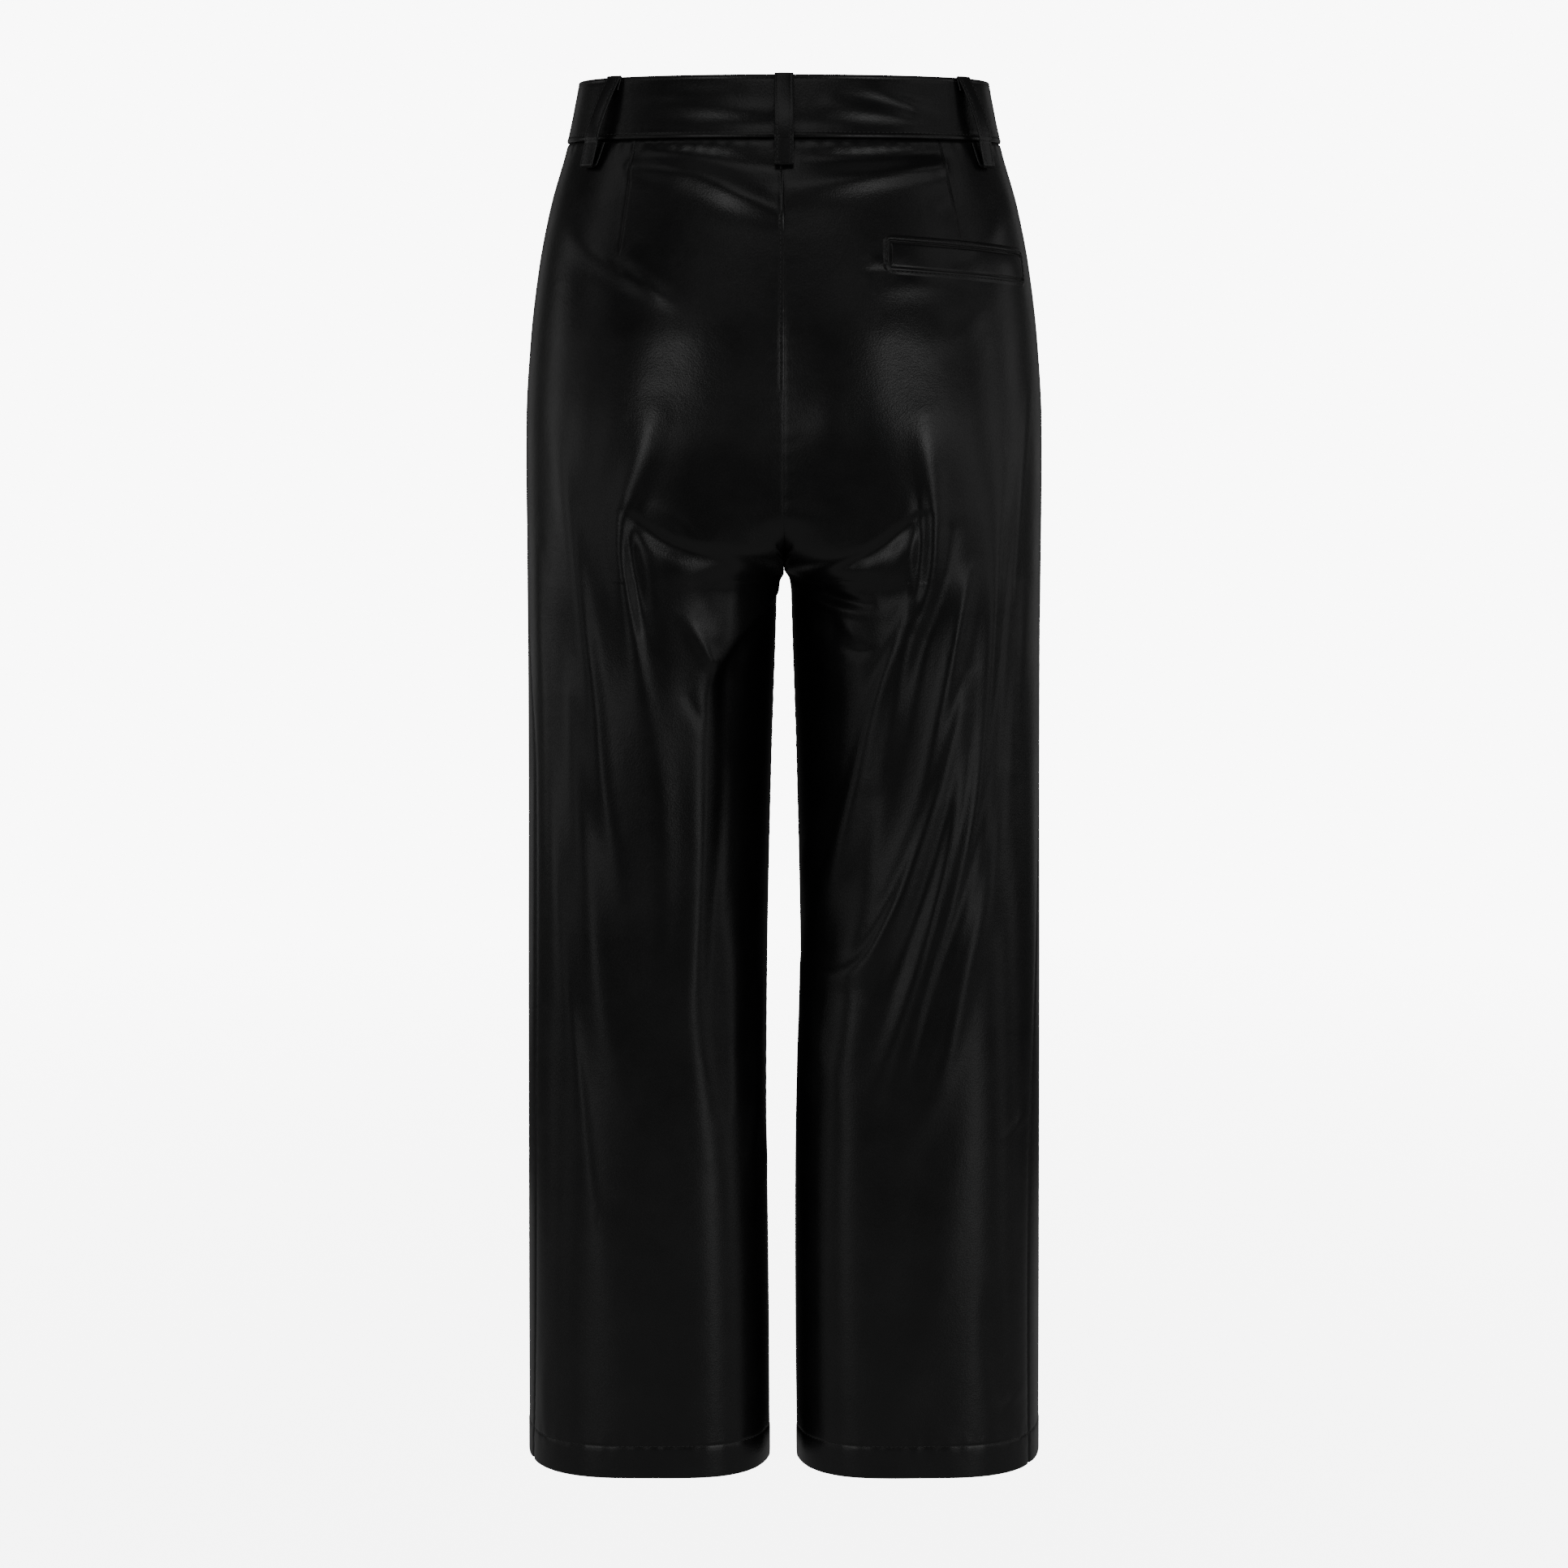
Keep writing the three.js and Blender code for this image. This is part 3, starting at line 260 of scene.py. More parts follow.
BAND_FOLDS = [
    (BACK, LEFT, [(92, 9, 4, -0.2), (60, 8, 4.5, -0.5), (30, 7, 4, -0.2)]),
    (BACK, LEFT, [(84, 2, 4, 0.2), (56, 0, 5, 0.6), (26, -2.5, 5, 0.7), (8, -3, 4, 0.3)]),
    (BACK, LEFT, [(88, -9, 4, -0.2), (50, -10, 4.5, -0.5), (10, -11, 4, -0.5)]),
    (BACK, RIGHT, [(52, 11, 3, 0.2), (66, 7, 3.2, 0.6), (84, 0, 3.2, 0.8), (98, -7, 3, 0.3)]),
    (BACK, RIGHT, [(66, 10, 3.4, -0.2), (78, 8, 4, -0.6), (92, 6, 3.4, -0.2)]),
    (BACK, RIGHT, [(38, 6, 3.2, -0.3), (58, 3, 3.4, -0.6), (80, -3, 3, -0.6)]),
    (BACK, RIGHT, [(28, 0, 4, 0.4), (46, -3, 4, 0.7), (72, -5, 3.6, 0.6), (92, -9, 3, 0.2)]),
    (BACK, RIGHT, [(10, -10, 4, -0.4), (50, -11, 4.5, -0.6), (88, -13, 4, -0.3)]),
    (FRONT, LEFT, [(90, 5, 4, 0.3), (64, 3, 4.5, 0.6), (40, 1, 4, 0.3)]),
    (FRONT, LEFT, [(86, -8, 4, -0.3), (60, -9, 4, -0.6), (38, -9, 4, -0.2)]),
    (FRONT, RIGHT, [(96, 2, 4, 0.3), (70, 1, 4.5, 0.6), (48, -1, 4, 0.2)]),
    (FRONT, RIGHT, [(90, -9, 4, -0.2), (66, -10, 4, -0.5), (44, -9, 4, -0.2)]),
]

# Darts of the back panels, from the waist seam down, as (from the centre line, height)
DARTS = {LEFT: ((95.0, -20.0), (105.0, -96.0)), RIGHT: ((99.0, -20.0), (113.5, -87.0))}
DART_GROOVE = 0.45
DART_WIDE = 0.7
DART_STEP = 0.12
DART_FADE = 9.0

# Seams
EDGE_ROLL = 1.0
EDGE_REACH = 1.3
SEAM_DIP = 0.5
SEAM_SOFT = 5.0
PUCKER = 0.16
PUCKER_PITCH = 10.5
PUCKER_REACH = 6.0
EDGE_STITCH = 2.1
EDGE_STITCHED_TO = -182.0
EDGE_RIDGE = 0.15
STITCH_DIP = 0.3
STITCH_DIP_WIDE = 0.7
HEM_SWELL = 0.35
CENTRE_SHARE = 0.12
CENTRE_REACH = 10.0
CENTRE_FADE = 6.0
ALLOWANCE_STEPS = (9.0, 8.6, 7.0, 5.0, 3.0, 1.5, 0.6)
ALLOWANCE_WALL = 1.1
ALLOWANCE_GAP = 0.12
ALLOWANCE_FOOT = 5.0
FRONT_ALLOWANCE_TOP = -186.0

# Grid spacings: away from an edge, and the rest
EDGE_STEPS = (0.0, 0.45, 0.9, 1.4, 2.1, 2.9, 4.0, 5.4, 7.2, 9.6)
PITCH_DOWN = 3.3
FORK_ROWS = (0.12, 0.35, 0.7, 1.1)
PITCH_CREASES = 1.7
PITCH_BACK = 2.4
PITCH_FRONT = 3.2
CREASES = (-246.0, -390.0)
NOMINAL_WIDTH = 262.0

# Waistband
BAND_WALL = 3.0
BAND_PROUD = 0.8
BAND_COLUMNS = 300
BAND_STEPS = (0.0, 0.25, 0.7, 1.3, 2.0, 2.6, 3.2, 4.0, 5.0, 6.5, 8.2)
BAND_ROUND = 1.3
BAND_STITCH_TOP = 17.4
BAND_STITCH_FOOT = -16.4
BAND_LIP = 0.3
UNDERLAP = 34.0
UNDERLAP_STEP = 14.0
LAID_ON = 0.5

# Belt loops: degrees round the waist from the back seam towards the left, at top and foot
LOOPS = [
    ("loop_back_centre", 0, 0),
    ("loop_back_left", 52, 56),
    ("loop_back_right", -57, -60),
    ("loop_front_left", 138, 138),
    ("loop_front_right", -138, -138),
]
LOOP_WIDE = 12.0
LOOP_HALF_THICK = 0.75
LOOP_TOP = 19.6
LOOP_FOOT = -36.9
LOOP_OUT_TOP = 2.2
LOOP_OUT_FOOT = 5.0
LOOP_BOW = 4.2
LOOP_BACK_AT = 1.0
LOOP_RETURN_TOP = 8.0
LOOP_RETURN_FOOT = 15.5
LOOP_EDGE = 0.8
LOOP_STITCH = 1.9

# Welt pocket on the right back: arc lengths from the centre back seam
WELT_INNER = (68.0, -93.0)
WELT_OUTER = (184.0, -101.0)
WELT_DEPTH = 14.5
WELT_LONG = 116.0
WELT_LOW = 0.15
WELT_UNDER = 0.05
WELT_LIFT = 0.35
WELT_SWELL = 0.5
WELT_WAVE = 0.12
WELT_ROUND = 0.7
POCKET_EDGE = 5.2
POCKET_STITCH = 3.1
POCKET_STITCH_OUT = 0.42

# Fly: the curved row of stitches on the right front, and the zip's teeth
FLY_STITCH = 32.0
FLY_STITCH_FOOT = -172.0
TEETH_TOP = -40.0
TEETH_FOOT = -174.0
TEETH_PITCH = 1.5
TEETH_INSET = 6.75
BUTTONHOLE = (3.0, 21.0)


class ClothSettings(PropertyGroup):
    """Wall, folds and finish of the leather."""

    wall: FloatProperty(
        name="Wall", description="Thickness of the cloth", default=0.0015, unit="LENGTH"
    )
    fold_depth: FloatProperty(
        name="Fold Depth", description="Multiplies the depth of every fold", default=FOLD_DEPTH,
        subtype="FACTOR", min=0.0, max=2.0,
    )
    colour: FloatVectorProperty(
        name="Leather Colour", description="Colour of the coated face", default=(0.0052, 0.0052, 0.0055),
        subtype="COLOR", size=3, min=0.0, max=1.0,
    )
    worn_colour: FloatVectorProperty(
        name="Worn Colour", description="Colour where the finish varies", default=(0.0088, 0.0088, 0.0092),
        subtype="COLOR", size=3, min=0.0, max=1.0,
    )
    backing_colour: FloatVectorProperty(
        name="Backing Colour", description="Colour of the knitted inside", default=(0.012, 0.012, 0.0125),
        subtype="COLOR", size=3, min=0.0, max=1.0,
    )
    roughness: FloatProperty(
        name="Roughness", description="Mean roughness of the coated face", default=0.33,
        subtype="FACTOR", min=0.0, max=1.0,
    )
    grain_size: FloatProperty(
        name="Grain Size", description="Width of one pebble of the grain", default=0.0011, unit="LENGTH"
    )
    grain_depth: FloatProperty(
        name="Grain Depth", description="Depth of the grain", default=0.00008, unit="LENGTH"
    )


class SewingSettings(PropertyGroup):
    """Thread and spacing of the stitches."""

    stitch: FloatProperty(
        name="Stitch", description="Length of one stitch", default=0.0025, unit="LENGTH"
    )
    spacing: FloatProperty(
        name="Spacing", description="From one stitch to the next", default=0.0031, unit="LENGTH"
    )
    thread: FloatProperty(
        name="Thread", description="Diameter of the thread", default=0.00055, unit="LENGTH"
    )
    # Lifted above black: partly the thread's own dark tone, partly a painted highlight that makes the stitches look
    # lit.
    thread_tone_and_highlight: FloatVectorProperty(
        name="Thread Colour", description="Colour of the thread", default=(0.034, 0.034, 0.035),
        subtype="COLOR", size=3, min=0.0, max=1.0,
    )


class StageSettings(PropertyGroup):
    """Floor, backdrop, lights and camera."""

    floor_height: FloatProperty(
        name="Floor Height", description="Height of the floor under the waist", default=-1.02, unit="LENGTH"
    )
    floor_colour: FloatVectorProperty(
        name="Floor Colour", description="Colour of the floor", default=(0.84, 0.84, 0.84),
        subtype="COLOR", size=3, min=0.0, max=1.0,
    )
    floor_strength: FloatProperty(
        name="Floor Strength", description="Brightness that the floor has of its own", default=6.5, min=0.0
    )
    backdrop_strength: FloatProperty(
        name="Backdrop Strength", description="Brightness of the backdrop", default=9.0, min=0.0
    )
    surround_strength: FloatProperty(
        name="Surround Strength", description="Brightness of the room round the object", default=0.038, min=0.0
    )
    box_power: FloatProperty(
        name="Box Power", description="Multiplies the power of every soft box", default=1.0, min=0.0
    )
    overhead_power: FloatProperty(
        name="Overhead Power", description="Power of the overhead soft box", default=1.0, unit="POWER"
    )
    floor_glow_power: FloatProperty(
        name="Floor Glow Power", description="Power of the light that the floor gives back", default=2.0,
        unit="POWER",
    )
    lens: FloatProperty(
        name="Lens", description="Focal length of the camera", default=82.08, subtype="DISTANCE_CAMERA"
    )


def smooth(share):
    """Eases a share from 0 to 1."""
    share = np.clip(share, 0.0, 1.0)
    return share * share * (3.0 - 2.0 * share)


def bump_over(distance, reach):
    """A soft hump of height 1 that is this wide to each side."""
    return np.exp(-((distance / reach) ** 2))


def unit(vectors):
    return vectors / np.maximum(np.linalg.norm(vectors, axis=-1, keepdims=True), 1e-12)


# The same base form as the part's source

ROWS_UP = SECTIONS[::-1]


def section_slopes():
    """Monotone cubic slopes, so that no column overshoots between two rows."""
    steps = np.diff(ROWS_UP[:, 0])
    rises = np.diff(ROWS_UP, axis=0) / steps[:, None]
    slopes = np.empty_like(ROWS_UP)
    slopes[0] = rises[0]
    slopes[-1] = rises[-1]
    before = (2 * steps[1:] + steps[:-1])[:, None]
    after = (steps[1:] + 2 * steps[:-1])[:, None]
    below, above = rises[:-1], rises[1:]
    same = below * above > 0
    down = before / np.where(same, below, 1) + after / np.where(same, above, 1)
    slopes[1:-1] = np.where(same, (before + after) / np.where(same, down, 1), 0)
    return slopes


SLOPES = section_slopes()


@lru_cache(maxsize=None)
def section_at(height):
    heights = ROWS_UP[:, 0]
    z = min(max(height, heights[0]), heights[-1])
    i = min(int(np.searchsorted(heights, z, side="right")) - 1, len(heights) - 2)
    step = heights[i + 1] - heights[i]
    t = (z - heights[i]) / step
    from_a = ROWS_UP[i] * (1 + 2 * t) + step * SLOPES[i] * t
    from_b = ROWS_UP[i + 1] * (3 - 2 * t) - step * SLOPES[i + 1] * (1 - t)
    return dict(zip(SECTION_COLUMNS, from_a * (1 - t) ** 2 + from_b * t * t))


def inner_reach(section, on):
    """How far the inner half of the oval reaches in from its crown."""
    if section["height"] <= FORK:
        return section["crown"] - section["inner"]
    rise = SEAT_RISE if on == BACK else FLY_RISE
    power = section["back_round"] if on == BACK else section["front_round"]
    above = min(max((section["height"] - FORK) / rise, 0), 1)
    cleft = CLEFT_SHARE * min(max(section["crown"] / CLEFT_CROWN, CLEFT_LEAST), 1)
    share = (1 - cleft) * math.sqrt(1 - (1 - above) ** 2)
    return section["crown"] / (1 - share**power) ** (1 / power)


def oval(section, turn):
    """Points of the oval. turn is 0 at the side and a quarter turn at the crown of the back."""
    behind = turn >= 0
    depth = np.where(behind, section["back"] - section["middle"], section["front"] + section["middle"])
    power = 2 / np.where(behind, section["back_round"], section["front_round"])
    across = np.cos(turn)
    inwards = np.where(behind, inner_reach(section, BACK), inner_reach(section, FRONT))
    reach = np.where(across >= 0, section["side"] - section["crown"], inwards)
    x = section["crown"] + reach * np.sign(across) * np.abs(across) ** power
    y = section["middle"] + np.where(behind, 1, -1) * depth * np.abs(np.sin(turn)) ** power
    return x, y


def turn_at_centre(section, on):
    if section["height"] <= FORK:
        return math.pi
    power = section["back_round"] if on == BACK else section["front_round"]
    past = section["crown"] - HALF_GAP
    reach = inner_reach(section, on) if past > 0 else section["side"] - section["crown"]
    across = math.copysign((abs(past) / reach) ** (power / 2), past)
    return math.pi - math.acos(min(max(across, -1), 1))


@lru_cache(maxsize=None)
def row_line(side, on, height):
    """One row across a panel, from the side seam to the inner edge, as close samples."""
    section = section_at(height)
    start = math.radians(section["left_turn" if side == LEFT else "right_turn"])
    end = on * turn_at_centre(section, on)
    turn = np.linspace(start, end, ROW_SAMPLES + 1)
    x, y = oval(section, turn)
    lengths = np.concatenate([[0.0], np.cumsum(np.hypot(np.diff(x), np.diff(y)))])
    last = lengths[-1] - (0 if height > FORK else HALF_GAP)
    past_crown = np.flatnonzero(np.abs(turn[1:]) >= math.pi / 2)
    to_crown = last
    if len(past_crown):
        k = past_crown[0] + 1
        share = (math.pi / 2 - abs(turn[k - 1])) / (abs(turn[k]) - abs(turn[k - 1]))
        to_crown = lengths[k - 1] + (lengths[k] - lengths[k - 1]) * share
    run_x = np.gradient(x, lengths)
    run_y = np.gradient(y, lengths)
    return {
        "x": x, "y": y, "run_x": run_x, "run_y": run_y, "facing": np.sin(turn) * on,
        "lengths": lengths, "last": last, "even": min(to_crown + section["crown"], last),
    }


def column_lengths(row, shares):
    """Lengths of the columns on a row: those next to the fork take up what the row gains there."""
    to_even = (row["even"] - HALF_GAP) * shares
    return HALF_GAP + to_even + (row["last"] - row["even"]) * shares**3


def fold_lift(folds, on, side, x, z):
    """How far the folds of a table move a point out, for arrays of points."""
    total = np.zeros_like(x)
    for fold_on, fold_side, points in folds:
        if fold_on != on or fold_side != side:
            continue
        path = round_off(tuple(points))
        reach = path[:, [2, 4]].max() * 3
        near = (x > path[:, 0].min() - reach) & (x < path[:, 0].max() + reach)
        near &= (z > path[:, 1].min() - reach) & (z < path[:, 1].max() + reach)
        if not near.any():
            continue
        px, pz = x[near], z[near]
        best = np.full(px.shape, np.inf)
        lift = np.zeros(px.shape)
        for a, b in zip(path[:-1], path[1:]):
            along = b[:2] - a[:2]
            share = ((px - a[0]) * along[0] + (pz - a[1]) * along[1]) / (along @ along)
            share = np.clip(share, 0, 1)
            gap = np.hypot(px - a[0] - along[0] * share, pz - a[1] - along[1] * share)
            beyond = along[0] * (pz - a[1]) > along[1] * (px - a[0])
            wide = np.where(beyond, a[4] + (b[4] - a[4]) * share, a[2] + (b[2] - a[2]) * share)
            deep = a[3] + (b[3] - a[3]) * share
            shares = gap / (wide * FOLD_REACH)
            closer = shares < best
            best = np.where(closer, shares, best)
            lift = np.where(closer, deep, lift)
        total[near] += lift * bump_over(best, 1.0)
    return total


@lru_cache(maxsize=None)
def round_off(points):
    """Rounds the corners of a path three times over, keeping its ends."""
    path = np.array([(*point, point[2])[:5] for point in points], float)
    for _ in range(3):
        cut = np.empty((2 * len(path) - 2, path.shape[1]))
        cut[0::2] = path[:-1] * 0.75 + path[1:] * 0.25
        cut[1::2] = path[:-1] * 0.25 + path[1:] * 0.75
        path = np.vstack([path[:1], cut, path[-1:]])
    return path


@lru_cache(maxsize=None)
def dart_length(side, height):
    """Where a back dart crosses a row, as a length from the side seam."""
    (top_x, top_z), (foot_x, foot_z) = DARTS[side]
    share = min(max((height - top_z) / (foot_z - top_z), 0), 1)
    row = row_line(side, BACK, height)
    outer = np.argmax(row["facing"] > 0.999) or len(row["x"]) - 1
    return float(np.interp(-(top_x + (foot_x - top_x) * share), -row["x"][:outer], row["lengths"][:outer]))


def seam_relief(side, on, length, along, z):
    """What the seams, darts, stitch rows and hem add to the height of the cloth."""
    centre = CENTRE_SHARE if on == BACK else 1.0
    roll = -EDGE_ROLL * (bump_over(length, EDGE_REACH) + centre * bump_over(along, EDGE_REACH))
    roll -= SEAM_DIP * (bump_over(length, SEAM_SOFT) + centre**2 * bump_over(along, SEAM_SOFT))
    below = BAND_FOOT - z
    roll -= EDGE_ROLL * bump_over(below, EDGE_REACH)
    wave = np.sin(z * 2 * math.pi / PUCKER_PITCH + 1.7 * np.sin(z / 23.0)) * (0.6 + 0.4 * np.sin(z / 37.0))
    at_seam = bump_over(along - 2.0, PUCKER_REACH) + 0.7 * bump_over(length - 2.0, PUCKER_REACH)
    relief = roll + PUCKER * wave * at_seam
    across = np.sin(length * 2 * math.pi / PUCKER_PITCH + 1.3 * np.sin(length / 19.0))
    relief += PUCKER * across * bump_over(below - 2.0, PUCKER_REACH)
    if on == BACK and side == LEFT:
        stitched = smooth((z - EDGE_STITCHED_TO) / 12.0)
        relief += stitched * EDGE_RIDGE * bump_over(along - 1.2, 1.1)
        relief -= stitched * STITCH_DIP * bump_over(along - EDGE_STITCH, STITCH_DIP_WIDE)
    if on == BACK:
        darts = np.array([[dart_length(side, float(h))] for h in z[:, 0]])
        foot = DARTS[side][1][1]
        fade = smooth((z - foot) / DART_FADE)
        off = length - darts
        relief -= fade * DART_GROOVE * bump_over(off, DART_WIDE)
        relief += fade * DART_STEP * bump_over(off + 2.2, 1.8)
        relief -= 0.5 * bump_over(np.hypot(off, (z - foot) / 1.6), 6.0)
    above_hem = z - HEM - HEM_DEPTH
    relief -= STITCH_DIP * bump_over(above_hem, STITCH_DIP_WIDE)
    relief += HEM_SWELL * smooth(-above_hem / 3.0)
    relief += PUCKER * across * bump_over(above_hem, PUCKER_REACH) * 0.8
    return relief


def cloth(side, on, heights, lengths, fold_depth=FOLD_DEPTH, out=0.0, seams=True):
    """Points of the folded cloth, (rows, columns, 3). lengths run from the side seam."""
    found = {key: [] for key in ("x", "y", "run_x", "run_y", "facing")}
    lasts = []
    for height, targets in zip(heights, lengths):
        row = row_line(side, on, float(height))
        lasts.append(row["last"])
        for key, values in found.items():
            values.append(np.interp(targets, row["lengths"], row[key]))
    x, y, run_x, run_y, facing = (np.array(found[key]) for key in found)
    z = np.repeat(np.asarray(heights, float)[:, None], x.shape[1], axis=1)
    run = np.hypot(run_x, run_y)
    softer = 1 - (1 - LEG_SHARE) * smooth((LEG_SHARE_FROM - z) / LEG_SHARE_OVER)
    lift = fold_lift(PANEL_FOLDS, on, side, x, z) * smooth(facing / FOLD_FADE) * softer * fold_depth
    if seams:
        lift = lift + seam_relief(side, on, lengths, np.array(lasts)[:, None] - lengths, z)
    lift = lift + out
    along = np.array(lasts)[:, None] - lengths
    straight = smooth((CENTRE_REACH - along) / CENTRE_FADE) * smooth((z - FORK) / CENTRE_FADE)
    way_x = run_y / run * on * (1 - straight)
    way_y = -run_x / run * on * (1 - straight) + on * straight
    out_x = x + way_x * lift
    out_y = y + way_y * lift
    return np.stack([np.maximum(out_x, HALF_GAP) * side, out_y, z], axis=-1)


def spread(first, last, pitch):
    """Even steps from first to last, no wider than pitch."""
    count = max(int(math.ceil(abs(last - first) / pitch)), 1)
    return np.linspace(first, last, count + 1)


def panel_heights():
    top = BAND_FOOT - HALF_GAP
    steps = [top - step for step in EDGE_STEPS]
    stitch = HEM + HEM_DEPTH
    heights = np.concatenate([
        steps,
        spread(steps[-1], CREASES[0], PITCH_DOWN),
        spread(CREASES[0], FORK, PITCH_CREASES),
        FORK + np.array(FORK_ROWS),
        spread(FORK, CREASES[1], PITCH_CREASES),
        spread(CREASES[1], stitch + 4, PITCH_DOWN),
        stitch + np.array([2.2, 1.2, 0.6, 0, -0.6, -1.2, -2.2, -4]),
        spread(stitch - 4, HEM + 1.2, PITCH_DOWN),
        [HEM + 0.7, HEM + 0.3, HEM],
    ])
    return np.unique(heights.round(4))[::-1]


def panel_shares(side, on):
    """Column shares, close together at both seams and, on the back, along the dart."""
    edge = np.array(EDGE_STEPS) / NOMINAL_WIDTH
    pitch = (PITCH_BACK if on == BACK else PITCH_FRONT) / NOMINAL_WIDTH
    shares = np.concatenate([edge, spread(edge[-1], 1 - edge[-1], pitch), 1 - edge])
    if on == FRONT:
        return np.unique(shares.round(6)), None
    row = row_line(side, BACK, DARTS[side][1][1])
    at = dart_length(side, DARTS[side][1][1])
    fine = np.linspace(0, 1, 2001)
    guide = float(np.interp(at, column_lengths(row, fine), fine))
    near = np.array([0, 0.4, 0.8, 1.3, 2.0, 2.9, 4.2]) / NOMINAL_WIDTH
    shares = shares[np.abs(shares - guide) > near[-1] + 1.2 / NOMINAL_WIDTH]
    shares = np.concatenate([shares, guide + near, guide - near])
    return np.unique(shares.round(6)), guide


def panel_lengths(side, on, heights, shares, guide):
    """Lengths of every column on every row; on the back the guide column follows the dart."""
    fine = np.linspace(0, 1, 2001)
    lengths = []
    foot = DARTS[side][1][1]
    for height in heights:
        row = row_line(side, on, float(height))
        used = shares
        if guide is not None and height > foot:
            at = np.interp(dart_length(side, float(height)), column_lengths(row, fine), fine)
            used = np.where(shares < guide, shares * at / guide, 1 - (1 - shares) * (1 - at) / (1 - guide))
        lengths.append(column_lengths(row, used))
    return np.array(lengths)


def grid_normals(points, flip):
    across = np.gradient(points, axis=1)
    down = np.gradient(points, axis=0)
    return unit(np.cross(across, down)) * flip


# The ring of the waist

NUDGE = 0.002


def ring(turn, height, out):
    """Points of the waist ring: turn runs from the back seam towards the left side."""
    section = section_at(float(height))
    wrapped = np.arctan2(np.sin(turn), np.cos(turn))
    side = np.where(wrapped >= 0, 1.0, -1.0)
    from_side = math.pi / 2 - np.abs(wrapped)
    x, y = oval(section, from_side)
    ax, ay = oval(section, from_side + NUDGE)
    bx, by = oval(section, from_side - NUDGE)
    run = np.hypot(ax - bx, ay - by)
    out_x = (ay - by) / run * out
    out_y = (bx - ax) / run * out
    return np.stack([(x + out_x) * side, y + out_y, np.full_like(x, height)], axis=-1)


def half_turn(turn, height, wide):
    """Half of a width on the waist ring, as a turn."""
    half = wide / 2 / section_at(float(height))["side"]
    for _ in range(6):
        ends = ring(np.array([turn - half, turn + half]), height, 0.0)
        half *= wide / np.linalg.norm(ends[1] - ends[0])
    return half


def band_relief(turn, height):
    """Folds, rounded edges and stitch rows of the waistband's outer face."""
    points = ring(turn, height, 0.0)
    x, y = points[:, 0], points[:, 1]
    z = np.full_like(x, height)
    lift = np.zeros_like(x)
    for on in (BACK, FRONT):
        for side in (LEFT, RIGHT):
            here = (y * on > 0) & (x * side >= 0)
            lift += np.where(here, fold_lift(BAND_FOLDS, on, side, np.abs(x), z), 0)
    from_edge = min(BAND_TOP - height, height - BAND_FOOT)
    open_ = max(1 - max(from_edge, 0) / BAND_ROUND, 0)
    lift -= BAND_ROUND * (1 - math.sqrt(max(1 - open_**2, 0)))
    around = turn * 143.0
    ripple = 0.75 + 0.25 * np.sin(around * 2 * math.pi / 3.1)
    for row in (BAND_STITCH_TOP, BAND_STITCH_FOOT):
        lift -= STITCH_DIP * bump_over(height - row, STITCH_DIP_WIDE) * ripple
        outside = (height - row) * (1 if row > 0 else -1)
        lift += BAND_LIP * bump_over(outside - 1.3, 1.0)
        lift += PUCKER * 0.9 * np.sin(around * 2 * math.pi / 7.3 + 2.0 * np.sin(around / 31.0)) * bump_over(
            outside + 2.4, 2.6
        )
    return lift


def waistband_step(turn):
    """How far out the band's face is at a turn: proud, or behind the other end at the underlap."""
    side = section_at(0.0)["side"]
    step = UNDERLAP_STEP / side
    gap = HALF_GAP / side
    stepped = smooth((turn - (math.pi - step - gap)) / step)
    behind = BAND_PROUD - BAND_WALL - LAID_ON
    return BAND_PROUD + (behind - BAND_PROUD) * stepped


# Meshes

def mesh_object(name, points, faces, materials, face_materials=None, flat_over=50.0):
    """A smooth-shaded object from points in millimetres."""
    mesh = bpy.data.meshes.new(name)
    mesh.from_pydata((np.asarray(points) * MM).tolist(), [], np.asarray(faces).tolist())
    for material in materials:
        mesh.materials.append(material)
    if face_materials is not None:
        mesh.polygons.foreach_set("material_index", np.asarray(face_materials, np.int32))
    mesh.polygons.foreach_set("use_smooth", np.ones(len(mesh.polygons), bool))
    mesh.set_sharp_from_angle(angle=math.radians(flat_over))
    mesh.update()
    if mesh.validate():
        raise RuntimeError(f"{name} had faces that don't hold together")
    made = bpy.data.objects.new(name, mesh)
    bpy.context.scene.collection.objects.link(made)
    return made


def shell_faces(rows, columns):
    """Quads of a closed shell between two grids, with 1 for those on the inside."""
    ids = np.arange(rows * columns).reshape(rows, columns)
    under = ids + rows * columns
    a, b, c, d = ids[:-1, :-1], ids[:-1, 1:], ids[1:, 1:], ids[1:, :-1]
    outer = np.stack([a, b, c, d], -1).reshape(-1, 4)
    inner = np.stack([a, d, c, b], -1).reshape(-1, 4) + rows * columns
    top = np.stack([ids[0, 1:], ids[0, :-1], under[0, :-1], under[0, 1:]], -1)
    foot = np.stack([ids[-1, :-1], ids[-1, 1:], under[-1, 1:], under[-1, :-1]], -1)
    first = np.stack([ids[:-1, 0], ids[1:, 0], under[1:, 0], under[:-1, 0]], -1)
    last = np.stack([ids[1:, -1], ids[:-1, -1], under[:-1, -1], under[1:, -1]], -1)
    faces = np.concatenate([outer, inner, top, foot, first, last])
    inside = np.zeros(len(faces), np.int32)
    inside[len(outer):len(outer) + len(inner)] = 1
    return faces, inside


def shell(name, outer, inner, flip, materials):
    rows, columns = outer.shape[:2]
    faces, inside = shell_faces(rows, columns)
    if flip < 0:
        faces = faces[:, ::-1]
    points = np.concatenate([outer.reshape(-1, 3), inner.reshape(-1, 3)])
    return mesh_object(name, points, faces, materials, inside * (len(materials) - 1))


STITCH_RINGS = np.array([(0.0, -0.9, 0.45), (0.18, 0.15, 0.9), (0.5, 0.5, 1.0), (0.82, 0.15, 0.9), (1.0, -0.9, 0.45)])
STITCH_SIDES = 6


